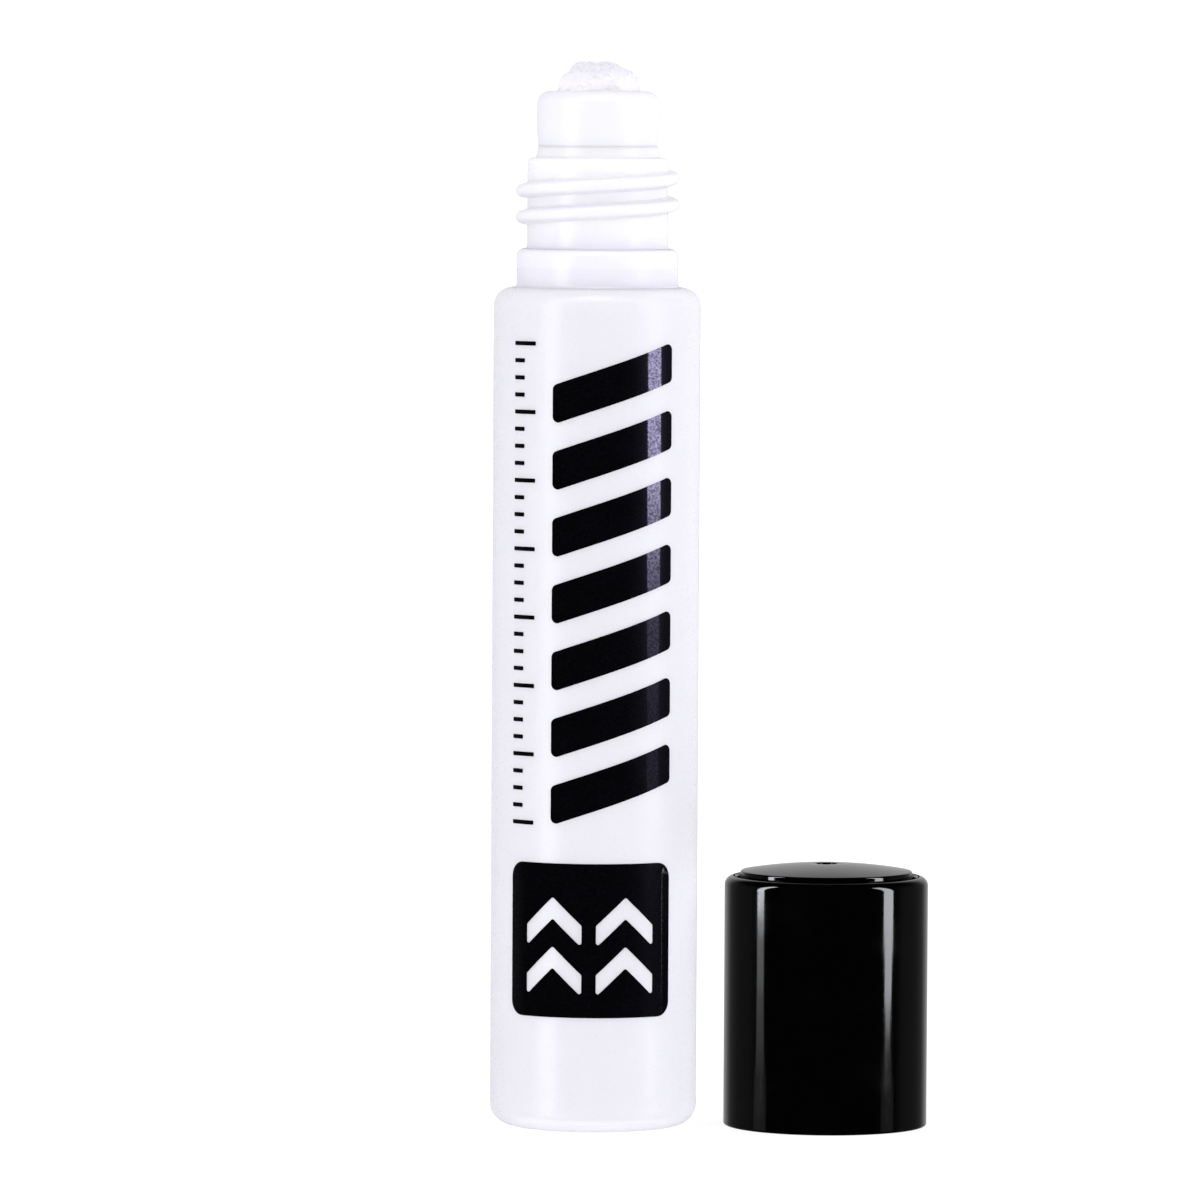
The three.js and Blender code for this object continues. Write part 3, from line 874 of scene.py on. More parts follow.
@dataclass
class TipUnit:
    """What is pushed into the neck: the holder, the valve's spring and the cage that carries it."""

    cup_foot: float = 7.2
    cup: float = 7.4
    cup_bottom: float = 118.2
    cup_foot_height: float = 1.9
    cup_top: float = 124.82
    cup_corner: float = 1.6
    cup_foot_corner: float = 2.0
    plug: float = 6.15
    plug_corner: float = 0.35
    rib: float = 6.3
    rib_half_width: float = 0.4
    rib_corner: float = 0.1
    rib_count: int = 3
    plug_bottom: float = 104.82
    socket: float = 5.2
    socket_corner: float = 0.25
    socket_floor: float = 113.02
    web_hole: float = 2.0
    web_corner: float = 0.15
    web_bottom: float = 111.52
    chamber: float = 5.0
    chamber_corner: float = 0.15
    root_corner: float = 0.2
    cage: float = 4.9
    cage_wall: float = 0.8
    cage_corner: float = 0.2
    cage_inner_corner: float = 0.15
    cage_bottom: float = 103.6
    cage_floor_top: float = 104.8
    cage_top: float = 107.8
    cage_flange: float = 6.0
    cage_flange_corner: float = 0.3
    cage_flange_top: float = 104.8
    guide_hole: float = 1.75
    guide_corner: float = 0.1
    slot_length: float = 7.2
    slot_width: float = 1.2
    slot_tool_height: float = 3.0
    spring: float = 2.3
    wire: float = 0.22
    wire_sides: int = 12
    spring_bottom: float = 105.07
    spring_top: float = 109.43
    curls: int = 4
    steps_per_curl: int = 40
    spring_keeps: float = 0.68
    sides: int = 128

    def holder(self) -> bmesh.types.BMesh:
        """Makes the plug with its ribs, under the cup that stands on the lip.

        Returns:
            The mesh, in metres.
        """
        spacing = (self.cup_bottom - self.plug_bottom) / (self.rib_count + 1)
        corners: list[Corner] = [(self.plug, self.plug_bottom, self.plug_corner)]
        for place in range(1, self.rib_count + 1):
            height = self.plug_bottom + spacing * place
            corners += [
                (self.plug, height - self.rib_half_width, self.rib_corner),
                (self.rib, height - self.rib_half_width / 2, self.rib_corner),
                (self.rib, height + self.rib_half_width / 2, self.rib_corner),
                (self.plug, height + self.rib_half_width, self.rib_corner),
            ]
        corners += [
            (self.plug, self.cup_bottom, 0),
            (self.cup_foot, self.cup_bottom, 0),
            (self.cup, self.cup_bottom + self.cup_foot_height, self.cup_foot_corner),
            (self.cup, self.cup_top, self.cup_corner),
            (self.socket, self.cup_top, self.socket_corner),
            (self.socket, self.socket_floor, self.root_corner),
            (self.web_hole, self.socket_floor, self.web_corner),
            (self.web_hole, self.web_bottom, self.web_corner),
            (self.chamber, self.web_bottom, self.root_corner),
            (self.chamber, self.plug_bottom, self.chamber_corner),
        ]
        return turn(rounded(corners, closed=True), sides=self.sides, closed=True)

    def cage_cup(self) -> bmesh.types.BMesh:
        """Makes the flanged cup that carries the spring, before its slots are cut.

        Returns:
            The mesh, in metres.
        """
        inside = self.cage - self.cage_wall
        corners = [
            (self.guide_hole, self.cage_bottom, self.guide_corner),
            (self.cage_flange, self.cage_bottom, self.cage_flange_corner),
            (self.cage_flange, self.cage_flange_top, self.cage_inner_corner),
            (self.cage, self.cage_flange_top, 0),
            (self.cage, self.cage_top, self.cage_corner),
            (inside, self.cage_top, self.cage_inner_corner),
            (inside, self.cage_floor_top, self.cage_corner),
            (self.guide_hole, self.cage_floor_top, self.guide_corner),
        ]
        return turn(rounded(corners, closed=True, steps=4), sides=self.sides // 2, closed=True)

    def slot_tool(self, quarter_turns: int) -> bpy.types.Object:
        """Makes a block that cuts one slot through the cage's floor.

        Args:
            quarter_turns: How many quarters of a turn the slot lies from the X axis.

        Returns:
            The block.
        """
        made = bmesh.new()
        bmesh.ops.create_cube(made, size=MM)
        middle = (self.cage_bottom + self.cage_floor_top) / 2 * MM
        size = (self.slot_length, self.slot_width, self.slot_tool_height)
        bmesh.ops.scale(made, verts=made.verts[:], vec=size)
        turned = Matrix.Rotation(quarter_turns * math.pi / 2, 3, "Z")
        bmesh.ops.rotate(made, verts=made.verts[:], cent=(0, 0, 0), matrix=turned)
        bmesh.ops.translate(made, verts=made.verts[:], vec=(0, 0, middle))
        return show("slot_tool", made, bpy.data.materials["valve_plastic"])

    def coil(self) -> bmesh.types.BMesh:
        """Makes the spring: a round wire swept up its curls, with both ends closed.

        Returns:
            The mesh, in metres.
        """
        made = bmesh.new()
        bmesh.ops.create_circle(made, cap_ends=True, segments=self.wire_sides, radius=self.wire * MM)
        upright = Matrix.Rotation(math.pi / 2, 3, "X")
        bmesh.ops.rotate(made, verts=made.verts[:], cent=(0, 0, 0), matrix=upright)
        foot = (self.spring * MM, 0, self.spring_bottom * MM)
        bmesh.ops.translate(made, verts=made.verts[:], vec=foot)
        steps = self.curls * self.steps_per_curl
        rise = (self.spring_top - self.spring_bottom) / steps * MM
        bmesh.ops.spin(
            made, geom=made.faces[:], cent=(0, 0, 0), axis=(0, 0, 1), dvec=(0, 0, rise),
            angle=FULL_TURN * self.curls, steps=steps, use_merge=False, use_normal_flip=False,
            use_duplicate=False,
        )
        bmesh.ops.recalc_face_normals(made, faces=made.faces[:])
        return made

    def build(self) -> None:
        """Makes the pieces of the tip unit."""
        white = MouldedPlastic(
            "holder_plastic", pale=(0.835, 0.83, 0.89), deep=(0.815, 0.81, 0.875),
            roughness=0.36, subsurface=0.3,
        )
        natural = MouldedPlastic(
            "valve_plastic", pale=(0.86, 0.86, 0.875), deep=(0.8, 0.8, 0.82), roughness=0.42
        )
        holder = show("nib_holder", self.holder(), white.material())
        seat(holder, Body.TIP_UNIT, "holder_plastic", "tip_holder")
        cage = show("valve_cage", self.cage_cup(), natural.material())
        for quarter in range(2):
            cut(cage, self.slot_tool(quarter))
        seat(cage, Body.TIP_UNIT, "valve_plastic", "spring_cage")
        coil = show("valve_coil", self.coil(), SpringSteel().material())
        seat(coil, Body.TIP_UNIT, "spring_steel", "valve_spring")
        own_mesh(coil)


@dataclass
class Nib:
    """The felt nib and the poppet under it."""

    radius: float = 5.1
    bottom: float = 114.62
    bottom_corner: float = 0.3
    cup_top: float = 124.82
    shoulder: float = 5.05
    shoulder_height: float = 126.15
    shoulder_corner: float = 1.4
    crown: float = 2.3
    crown_corner: float = 2.2
    corner_steps: int = 14
    top: float = 128.25
    lean: float = -0.55
    bulge: float = 0.3
    sides: int = 220
    row: float = 0.07
    rough_below_cup: float = 0.3
    rough_blend: float = 0.5
    tuft: float = 0.26
    tuft_noise: tuple[float, float, int] = (0.9, 2.1, 4)
    tufts_per_mm: float = 0.9
    pit: float = 0.05
    pit_noise: tuple[float, float, int] = (0.8, 2.2, 4)
    pits_per_mm: float = 5.0
    settled: float = 0.06
    fibre_count: int = 1500
    fibre_length: Span = (0.25, 0.75)
    fibre_lean: Span = (0.55, 0.97)
    fibre_bend: Span = (0.1, 0.5)
    fibre_width: float = 0.016
    fibre_tip: float = 0.4
    fibre_cuts: int = 3
    fibres_from: float = 0.1
    highest: float = 128.6
    bore: float = 5.2
    felt_clearance: float = 0.08
    fibre_clearance: float = 0.03
    travel: float = 1.7
    sharp: float = 80.0
    seed: int = 7

    def outline(self) -> list[Point]:
        """Draws the nib's section: a rod with a blunt dome.

        Returns:
            The outline's points.
        """
        corners = [
            (0, self.bottom, 0),
            (self.radius, self.bottom, self.bottom_corner),
            (self.radius, self.cup_top, 0),
            (self.shoulder, self.shoulder_height, self.shoulder_corner),
            (self.crown, self.top, self.crown_corner),
            (0, self.top, 0),
        ]
        return rounded(corners, steps=self.corner_steps)

    def place_of(self, face: bmesh.types.BMFace) -> float:
        """Finds where a face lies on the smooth nib, as one number to sort by.

        Args:
            face: The face.

        Returns:
            A whole turn for each sector round the axis, with the angle up the dome added.
        """
        middle = face.calc_center_median()
        sector = round(math.atan2(middle.y, middle.x) / FULL_TURN * self.sides - 0.5)
        up_dome = math.atan2(middle.z / MM - self.cup_top, math.hypot(middle.x, middle.y) / MM)
        return sector * FULL_TURN + up_dome

    def felt(self) -> bmesh.types.BMesh:
        """Makes the nib with its tufts and pits.

        Returns:
            The mesh, in metres.
        """
        made = turn(self.finely(self.outline()), sides=self.sides)
        # A spin makes its faces in no fixed order, and the fibres are drawn from them in theirs.
        made.faces.sort(key=self.place_of)
        for spot in made.verts:
            height = spot.co.z / MM
            if height < self.cup_top - self.rough_below_cup:
                continue
            share = min(1.0, (height - self.cup_top + self.rough_below_cup) / self.rough_blend)
            rise = max(0.0, (height - self.cup_top) / (self.top - self.cup_top))
            spot.co.x += (self.lean * rise ** 3 + self.bulge * math.sin(math.pi * min(rise, 1.0))) * MM
            here = spot.co / MM
            away = (here - Vector((0, 0, self.cup_top))).normalized()
            lump = noise.fractal(here * self.tufts_per_mm, *self.tuft_noise)
            grit = noise.fractal(here * self.pits_per_mm, *self.pit_noise)
            spot.co += away * (lump * self.tuft + grit * self.pit - self.settled) * share * MM
            self.keep_in(spot, self.bore - self.felt_clearance)
        return made

    def keep_in(self, spot: bmesh.types.BMVert, widest: float) -> None:
        """Holds a vertex under the nib's full height and, where it sinks into the cup, off its wall.

        Args:
            spot: The vertex.
            widest: The largest radius that goes down into the cup, in millimetres.
        """
        spot.co.z = min(spot.co.z, self.highest * MM)
        radius = math.hypot(spot.co.x, spot.co.y) / MM
        if spot.co.z / MM < self.cup_top + self.travel and radius > widest:
            spot.co.x *= widest / radius
            spot.co.y *= widest / radius

    def finely(self, outline: list[Point]) -> list[Point]:
        """Adds close points to an outline on everything that shows above the cup.

        Args:
            outline: The outline's points.

        Returns:
            The outline with the points added.
        """
        made = [outline[0]]
        for start, end in zip(outline, outline[1:]):
            span = math.dist(start, end)
            if min(start[1], end[1]) >= self.cup_top - WALL_TOLERANCE and span > self.row:
                made += between(start, end, math.ceil(span / self.row))
            made.append(end)
        return made

    def strand(self) -> bpy.types.Mesh:
        """Makes one straight, tapering fibre from the origin up, 1 long and 1 in radius, to copy.

        Returns:
            The fibre's mesh.
        """
        made = bmesh.new()
        ends = bmesh.ops.create_cone(
            made, cap_ends=True, cap_tris=True, segments=3, radius1=1.0, radius2=self.fibre_tip, depth=1.0
        )["verts"]
        bmesh.ops.translate(made, verts=ends, vec=(0, 0, 0.5))
        upright = [edge for edge in made.edges if abs(edge.verts[0].co.z - edge.verts[1].co.z) > 0.5]
        bmesh.ops.subdivide_edges(made, edges=upright, cuts=self.fibre_cuts)
        mesh = bpy.data.meshes.new("strand")
        made.to_mesh(mesh)
        made.free()
        return mesh

    def fibres(self, felt: bmesh.types.BMesh) -> bmesh.types.BMesh:
        """Makes the loose fibre ends that lie over the felt and stand a little out of it.

        Args:
            felt: The nib's mesh, which the fibres grow from.

        Returns:
            All the fibres as one mesh.
        """
        chance = random.Random(self.seed)
        made = bmesh.new()
        strand = self.strand()
        lowest = self.cup_top + self.fibres_from
        shown = [face for face in felt.faces if face.calc_center_median().z / MM > lowest]
        areas = [face.calc_area() for face in shown]
        for face in chance.choices(shown, weights=areas, k=self.fibre_count):
            made.from_mesh(strand)
            made.verts.ensure_lookup_table()
            spots = made.verts[-len(strand.vertices):]
            self.lay(spots, face.calc_center_median(), face.normal, chance)
        bpy.data.meshes.remove(strand)
        bmesh.ops.recalc_face_normals(made, faces=made.faces[:])
        return made

    def lay(
        self, spots: list[bmesh.types.BMVert], root: Vector, out: Vector, chance: random.Random
    ) -> None:
        """Lays one fibre on the felt, curved back towards it.

        Args:
            spots: The fibre's vertices, still at the origin.
            root: Where it grows from.
            out: The felt's direction outwards there.
            chance: The source of random numbers.
        """
        length = chance.uniform(*self.fibre_length) * MM
        side = out.orthogonal().normalized()
        side.rotate(Matrix.Rotation(chance.uniform(0, FULL_TURN), 3, out))
        leaning = out.lerp(side, chance.uniform(*self.fibre_lean))
        turned = leaning.to_track_quat("Z", "Y").to_matrix()
        bend = out * -chance.uniform(*self.fibre_bend) * length
        width = self.fibre_width * MM
        for spot in spots:
            along = spot.co.z
            straight = Vector((spot.co.x * width, spot.co.y * width, along * length))
            spot.co = root + turned @ straight + bend * along * along
            self.keep_in(spot, self.bore - self.fibre_clearance)

    def poppet(self) -> None:
        """Gives the CAD poppet its plastic, because its shape is right already."""
        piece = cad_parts["valve_poppet"]
        piece.data.materials.clear()
        piece.data.materials.append(bpy.data.materials["valve_plastic"])

    def build(self) -> None:
        """Makes the nib's pieces."""
        finish = Felt().material()
        made = self.felt()
        made.normal_update()
        loose = self.fibres(made)
        seat(show("nib_felt", made, finish, self.sharp), Body.NIB, "felt", "felt_tip")
        seat(show("nib_fibres", loose, finish, self.sharp), Body.NIB, "felt")
        self.poppet()


# The print


@dataclass
class Print:
    """A bold print of plain shapes on the bottle's front: slanted bars, a graded scale and a panel."""

    surface: float = 12.475
    proud: float = 0.022
    sunk: float = 0.02
    bar_left: float = -5.4
    bar_right: float = 10.0
    bar_bottom: float = 37.0
    bar_thickness: float = 4.7
    bar_rise: float = 5.2
    bar_pitch: float = 8.0
    bar_corner: float = 0.7
    bar_count: int = 7
    tick_left: float = -11.2
    tick_long: float = 3.4
    tick_short: float = 1.7
    tick_thickness: float = 0.5
    tick_corner: float = 0.1
    tick_count: int = 28
    ticks_to_long: int = 4
    panel_left: float = -11.2
    panel_right: float = 10.0
    panel_bottom: float = 14.0
    panel_top: float = 32.5
    panel_corner: float = 1.8
    chevron_width: float = 7.2
    chevron_thickness: float = 2.6
    chevron_rise: float = 3.4
    chevron_corner: float = 0.25
    chevron_levels: Span = (0.3, 0.62)
    chevron_spread: float = 0.62
    slice_width: float = 0.5
    slice_tolerance: float = 1e-5

    def flat(self, corners: list[Point], radius: float) -> list[Point]:
        """The closed outline through some corners, all rounded alike."""
        return rounded([(*corner, radius) for corner in corners], closed=True, hold=NO_HOLD)

    def bar(self, bottom: float) -> list[Point]:
        """The outline of a bar that climbs to the right."""
        left, right, rise, top = self.bar_left, self.bar_right, self.bar_rise, bottom + self.bar_thickness
        corners = [(left, bottom), (right, bottom + rise), (right, top + rise), (left, top)]
        return self.flat(corners, self.bar_corner)

    def box(self, left: float, right: float, bottom: float, top: float, radius: float) -> list[Point]:
        """The outline of an upright rectangle with round corners."""
        return self.flat([(left, bottom), (right, bottom), (right, top), (left, top)], radius)

    def chevron(self, middle: float, bottom: float) -> list[Point]:
        """The outline of a chevron that points up."""
        half, rise, thick = self.chevron_width / 2, self.chevron_rise, self.chevron_thickness
        under = [(middle - half, bottom), (middle, bottom + rise), (middle + half, bottom)]
        over = [(across, up + thick) for across, up in reversed(under)]
        return self.flat(under + over, self.chevron_corner)

    def bars(self) -> dict[str, list[list[Point]]]:
        """The slanted bars, each with its name."""
        heights = [self.bar_bottom + self.bar_pitch * index for index in range(self.bar_count)]
        return {f"print_bar_{number}": [self.bar(height)] for number, height in enumerate(heights, 1)}

    def scale(self) -> list[list[Point]]:
        """Draws the graded scale beside the bars.

        Returns:
            The outlines of its ticks.
        """
        top = self.bar_bottom + self.bar_pitch * (self.bar_count - 1) + self.bar_thickness + self.bar_rise
        step = (top - self.bar_bottom - self.tick_thickness) / self.tick_count
        ticks = []
        for index in range(self.tick_count + 1):
            right = self.tick_left + (self.tick_short if index % self.ticks_to_long else self.tick_long)
            low = self.bar_bottom + step * index
            ticks.append(self.box(self.tick_left, right, low, low + self.tick_thickness, self.tick_corner))
        return ticks

    def panel(self) -> list[list[Point]]:
        """Draws the panel, with chevrons left bare in it.

        Returns:
            The outlines of the panel and of its chevrons.
        """
        ends = (self.panel_left, self.panel_right, self.panel_bottom, self.panel_top)
        outlines = [self.box(*ends, self.panel_corner)]
        middle = (self.panel_left + self.panel_right) / 2
        height = self.chevron_thickness + self.chevron_rise
        rise = self.panel_top - self.panel_bottom
        for side in (-1, 1):
            across = middle + side * self.chevron_width * self.chevron_spread
            for level in self.chevron_levels:
                outlines.append(self.chevron(across, self.panel_bottom + rise * level - height / 2))
        return outlines

    def wrapped(self, outlines: list[list[Point]]) -> bmesh.types.BMesh:
        """Wraps a flat plate round the bottle.

        Args:
            outlines: The plate's outlines, as places round the wall and up it, in millimetres.

        Returns:
            The mesh, in metres.
        """
        made = slab(outlines, self.proud + self.sunk)
        low = min(spot.co.x for spot in made.verts)
        high = max(spot.co.x for spot in made.verts)
        for index in range(1, math.ceil((high - low) / self.slice_width)):
            bmesh.ops.bisect_plane(
                made, geom=made.verts[:] + made.edges[:] + made.faces[:], dist=self.slice_tolerance,
                plane_co=(low + index * self.slice_width, 0, 0), plane_no=(1, 0, 0),
            )
        for spot in made.verts:
            angle = spot.co.x / self.surface
            radius = (self.surface - self.sunk - spot.co.y) * MM
            spot.co = Vector((radius * math.sin(angle), -radius * math.cos(angle), spot.co.z * MM))
        return made

    def build(self) -> None:
        """Makes the printed pieces."""
        ink = PrintInk().material()
        layers = {**self.bars(), "print_scale": self.scale(), "print_panel": self.panel()}
        for name, outlines in layers.items():
            seat(show(name, self.wrapped(outlines), ink), Body.BOTTLE, "bottle_plastic")


# The cap


@dataclass
class Cap:
    """The cap: a sleeve, the threaded liner whose disc shows in the sleeve's top, and the seal."""

    centre: float = 28.1
    outer: float = 12.3
    height: float = 30.2
    bore: float = 11.3
    foot_corner: float = 0.3
    rim_bore: float = 10.8
    rim_depth: float = 1.5
    rim_corner: float = 1.1
    rim_inner_corner: float = 0.35
    edge_corner: float = 0.15
    snap_bottom: float = 0.3
    snap_top: float = 1.1
    snap_depth: float = 0.35
    snap_corner: float = 0.1
    liner: float = 11.1
    liner_bore: float = 10.05
    liner_bottom: float = 1.4
    liner_corner: float = 0.2
    liner_foot: float = 0.3
    ledge: float = 28.4
    disc: float = 10.4
    disc_edge_top: float = 30.8
    disc_corner: float = 0.25
    disc_root: float = 0.1
    disc_steps: int = 10
    dome: float = 0.9
    roof: float = 28.9
    dimple: float = 1.25
    dimple_depth: float = 0.7
    dimple_edge: float = 0.1
    dimple_taper: float = 0.25
    seal: float = 9.9
    seal_thickness: float = 0.6
    seal_gap: float = 0.02
    seal_corner: float = 0.1
    sides: int = 160
    row: float = 0.12
    thread: Thread = Thread(
        pitch=3.175, depth=1.25, half_width=0.65, bottom=8.2, start_turn=0.0, turns=1.4, fade_turns=0.09
    )

    def sleeve(self) -> bmesh.types.BMesh:
        """Makes the glossy sleeve, with the snap bead inside its open end.

        Returns:
            The mesh, in metres.
        """
        ledge = self.height - self.rim_depth
        corners = [
            (self.bore, 0, self.edge_corner),
            (self.outer, 0, self.foot_corner),
            (self.outer, self.height, self.rim_corner),
            (self.rim_bore, self.height, self.rim_inner_corner),
            (self.rim_bore, ledge, self.edge_corner),
            (self.bore, ledge, self.edge_corner),
            (self.bore, self.snap_top, 0),
            (self.bore - self.snap_depth, (self.snap_top + self.snap_bottom) / 2, self.snap_corner),
            (self.bore, self.snap_bottom, 0),
        ]
        return turn(rounded(corners, closed=True), self.centre, self.sides, closed=True)

    def disc_top(self) -> list[Corner]:
        """Draws the domed top of the disc, from its edge in to the dimple.

        Returns:
            The top's corners, all sharp, without the one at the edge.
        """
        start, end = self.disc - self.disc_corner, self.dimple + self.dimple_edge
        places = [start + (end - start) * step / self.disc_steps for step in range(1, self.disc_steps + 1)]
        return [(at, self.disc_edge_top + self.dome * (1 - (at / self.disc) ** 2), 0) for at in places]

    def inner(self) -> bmesh.types.BMesh:
        """Makes the threaded liner.

        Returns:
            The mesh, in metres.
        """
        crown = self.disc_edge_top + self.dome
        floor = crown - self.dimple_depth
        corners = [
            (self.liner_bore, self.liner_bottom, self.liner_corner),
            (self.liner, self.liner_bottom, self.liner_corner),
            (self.liner, self.ledge, self.edge_corner),
            (self.disc, self.ledge, self.disc_root),
            (self.disc, self.disc_edge_top, self.disc_corner),
            *self.disc_top(),
            (self.dimple, crown - self.dimple_edge, 0),
            (self.dimple - self.dimple_edge, floor + self.dimple_edge, 0),
            (self.dimple - self.dimple_taper, floor, 0),
            (0, floor, 0),
            (0, self.roof, 0),
            (self.liner_bore, self.roof, self.liner_corner),
            (self.liner_bore, self.liner_bottom + self.liner_foot, 0),
        ]
        points = rows(rounded(corners), self.liner_bottom, self.roof, self.row)
        made = turn(points + points[:1], sides=self.sides)
        self.thread.raise_on(made, 0.0, self.liner_bore, outwards=False)
        bmesh.ops.translate(made, verts=made.verts[:], vec=(self.centre * MM, 0, 0))
        return made

    def pad(self) -> bmesh.types.BMesh:
        """Makes the sealing disc in the roof.

        Returns:
            The mesh, in metres.
        """
        top = self.roof - self.seal_gap
        bottom = top - self.seal_thickness
        corners = [
            (0, bottom, 0),
            (self.seal, bottom, self.edge_corner),
            (self.seal, top, self.seal_corner),
            (0, top, 0),
        ]
        return turn(rounded(corners, steps=4), self.centre, self.sides)

    def build(self) -> None:
        """Makes the cap's pieces."""
        gloss = GlossPlastic().material()
        foam = MouldedPlastic("seal_foam", pale=(0.88, 0.88, 0.87), deep=(0.82, 0.82, 0.81), roughness=0.7)
        sleeve = show("cap_sleeve", self.sleeve(), gloss)
        seat(sleeve, Body.CAP, "cap_plastic", "cap_shell")
        inner = show("cap_inner", self.inner(), gloss, THREAD_SHARP)
        seat(inner, Body.CAP, "cap_plastic", "cap_liner")
        pad = show("cap_pad", self.pad(), foam.material())
        seat(pad, Body.CAP_CARRIER, "seal_foam", "cap_seal")


# The studio


@dataclass(frozen=True)
class Strip:
    """A softbox that stands beside the object, in one or more stages from its top down.

    Its place is a direction in degrees from the front towards +X, seen from the axis at `centre`,
    and its lengths are in millimetres. Each stage has its lower and upper end, its width and its
    radiance. A strip shows only as a highlight, and a fill only as light.
    """

    name: str
    side: float
    stages: tuple[tuple[float, float, float, float], ...]
    centre: float = 0.0
    reach: float = 420.0
    colour: Colour = (0.95, 0.96, 1.0)
    is_fill: bool = False


class Lit(Enum):
    """What a lamp shines on, with the start of those pieces' names."""

    MARKER = ("squeeze_", "nib_", "valve_")
    PRINT = ("print_",)
    CAP = ("cap_",)


@dataclass
class Studio:
    """The camera, the lamps, the floor and the light all round."""

    picture: float = 1200.0
    focal_pixels: float = 9110.0
    distance: float = 1100.0
    pitch: float = 3.2
    roll: float = 0.32
    aim: tuple[float, float, float] = (0.53, 0.0, 63.45)
    sensor: float = 36.0
    nearest: float = 50.0
    farthest: float = 20000.0
    floor_size: float = 6000.0
    floor_cells: int = 8
    fill: float = 1.12
    backdrop: float = 1.15
    white: Colour = (0.985, 0.985, 1.0)
    wall_span: Span = (-0.15, 0.15)
    wall_glow: float = 0.08
    back_span: Span = (0.5, 0.8)
    back_glow: float = 0.06
    sheet_span: Span = (0.72, 0.96)
    sheet_glow: float = 0.4
    roof_span: Span = (0.2, 0.7)
    lamps: dict[Lit, tuple[Strip, ...]] = field(default_factory=lambda: {
        Lit.MARKER: (
            Strip("marker_left_strip", -52.0, ((-300.0, 600.0, 150.0, 3.0),)),
            Strip("marker_right_strip", 67.0, ((-300.0, 600.0, 145.0, 1.7),)),
            Strip("marker_top_box", 0.0, ((500.0, 2600.0, 600.0, 3.4),)),
            Strip("marker_back_sheet", 136.0, ((-400.0, 600.0, 300.0, 0.6),)),
            Strip("marker_left_fill", -85.0, ((-400.0, 700.0, 500.0, 0.3),), is_fill=True),
            Strip("marker_right_fill", 80.0, ((-400.0, 700.0, 500.0, 0.5),), is_fill=True),
            Strip("marker_under_fill", 0.0, ((-1400.0, -150.0, 1200.0, 0.45),), is_fill=True),
            Strip("marker_low_fill", 90.0, ((0.0, 31.0, 24.0, 0.65),), reach=16.0, is_fill=True),
        ),
        Lit.PRINT: (
            Strip("print_strip", 67.0, (
                (58.0, 600.0, 125.0, 14.0),
                (48.0, 58.0, 125.0, 9.0),
                (40.0, 48.0, 120.0, 4.0),
                (28.0, 40.0, 115.0, 1.2),
                (0.0, 28.0, 110.0, 0.4),
            ), colour=(0.68, 0.63, 1.0)),
        ),
        Lit.CAP: (
            Strip("cap_left_strip", -80.0, (
                (-10.4, 500.0, 70.0, 12.0),
                (-23.5, -10.4, 70.0, 1.8),
                (-33.5, -23.5, 75.0, 0.8),
                (-37.5, -33.5, 90.0, 0.45),
                (-120.0, -37.5, 130.0, 0.2),
            ), centre=28.1),
            Strip("cap_right_strip", 73.0, (
                (-16.3, 500.0, 95.0, 9.2),
                (-26.3, -16.3, 70.0, 7.2),
                (-30.3, -26.3, 45.0, 3.8),
                (-34.7, -30.3, 60.0, 0.55),
                (-39.0, -34.7, 90.0, 0.27),
                (-120.0, -39.0, 130.0, 0.16),
            ), centre=28.1),
        ),
    })

    def camera(self) -> None:
        """Sets the camera at the photograph's viewing angle."""
        data = bpy.data.cameras.new("camera")
        data.sensor_width = self.sensor
        data.lens = self.focal_pixels / self.picture * self.sensor
        data.clip_start = self.nearest * MM
        data.clip_end = self.farthest * MM
        camera = bpy.data.objects.new("camera", data)
        tilt = math.radians(self.pitch)
        back = Vector((0, -math.cos(tilt), math.sin(tilt))) * self.distance
        camera.location = (Vector(self.aim) + back) * MM
        level = Euler((math.pi / 2 - tilt, 0, 0)).to_matrix()
        rolled = level @ Matrix.Rotation(math.radians(self.roll), 3, "Z")
        camera.rotation_euler = rolled.to_euler()
        bpy.context.scene.collection.objects.link(camera)
        bpy.context.scene.camera = camera

    def lamps_of(self, strip: Strip, lit: bpy.types.Collection) -> None:
        """Adds a softbox, one lamp for each stage.

        Args:
            strip: The softbox's place, size and strength.
            lit: The pieces that it shines on.
        """
        angle = math.radians(strip.side)
        for number, (bottom, top, across, radiance) in enumerate(strip.stages):
            width, height = across * MM, (top - bottom) * MM
            data = bpy.data.lights.new(f"{strip.name}_{number}", "AREA")
            data.shape = "RECTANGLE"
            data.size, data.size_y = width, height
            data.color = strip.colour
            data.energy = radiance * math.pi * width * height
            lamp = bpy.data.objects.new(data.name, data)
            across_x = strip.centre + strip.reach * math.sin(angle)
            across_y = -strip.reach * math.cos(angle)
            lamp.location = Vector((across_x, across_y, (top + bottom) / 2)) * MM
            lamp.rotation_euler = (math.pi / 2, 0, angle)
            lamp.visible_camera = False
            lamp.visible_diffuse = strip.is_fill
            lamp.visible_glossy = not strip.is_fill
            lamp.light_linking.receiver_collection = lit
            lamp.light_linking.blocker_collection = lit
            bpy.context.scene.collection.objects.link(lamp)

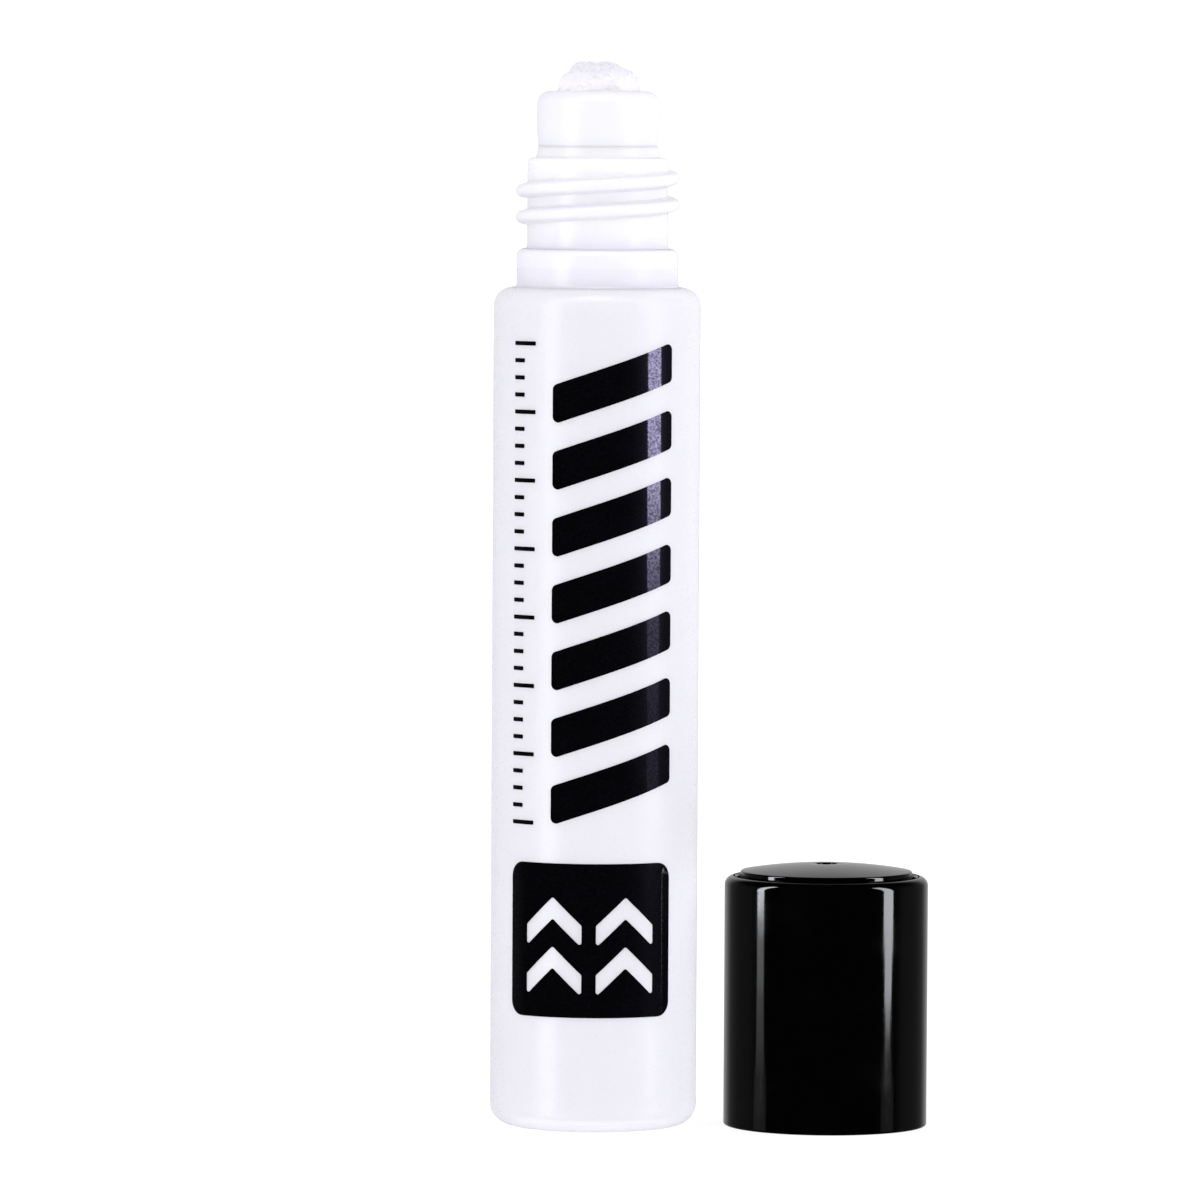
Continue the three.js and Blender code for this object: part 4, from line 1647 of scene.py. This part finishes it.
    def floor(self) -> None:
        """Lays the pale floor."""
        made = bmesh.new()
        cells = self.floor_cells
        bmesh.ops.create_grid(made, x_segments=cells, y_segments=cells, size=self.floor_size * MM)
        paper = show("studio_floor", made, StudioPaper().material())
        paper.visible_glossy = False

    def surroundings(self) -> None:
        """Sets the light all round: white paper to see and to light with, and a dark room to reflect.

        The room grows lighter towards the back, and the paper behind the object is bright.
        """
        world = bpy.data.worlds.new("studio")
        shader = Shader(world)
        seen = shader.node("ShaderNodeLightPath", out="Is Camera Ray")
        mirrored = shader.node("ShaderNodeLightPath", out="Is Glossy Ray")
        facing = shader.node("ShaderNodeTexCoord", out="Generated")
        behind, up = shader.part(facing, 1), shader.part(facing, 2)
        walls = behind.ramp(*self.wall_span) * self.wall_glow
        back = behind.ramp(*self.back_span) * self.back_glow
        sheet = behind.ramp(*self.sheet_span) * self.sheet_glow
        room = (walls + back) * (1 - up.ramp(*self.roof_span)) + sheet
        strength = mirrored * room + (1 - mirrored) * (self.fill + seen * (self.backdrop - self.fill))
        values = {"Color": (*self.white, 1), "Strength": strength}
        light = shader.node("ShaderNodeBackground", None, values)
        shader.end("ShaderNodeOutputWorld", light)
        bpy.context.scene.world = world

    def build(self, pieces: list[bpy.types.Object]) -> None:
        """Sets up the studio.

        Args:
            pieces: Every piece of the marker and of its cap.
        """
        scene = bpy.context.scene
        scene.view_settings.view_transform = "Standard"
        scene.view_settings.look = "None"
        self.camera()
        self.floor()
        self.surroundings()
        for lit, strips in self.lamps.items():
            group = bpy.data.collections.new(f"lit_{lit.name.lower()}")
            for piece in pieces:
                if piece.name.startswith(lit.value):
                    group.objects.link(piece)
                    piece.visible_glossy = lit is Lit.CAP
            for strip in strips:
                self.lamps_of(strip, group)


def main() -> None:
    """Builds the studio and every piece of the marker."""
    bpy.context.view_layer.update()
    for part in (Bottle(), TipUnit(), Nib(), Print(), Cap()):
        log.info("%s", type(part).__name__)
        part.build()
    Studio().build([piece for piece in bpy.context.scene.objects if piece.type == "MESH"])


if __name__ == "__main__":
    main()
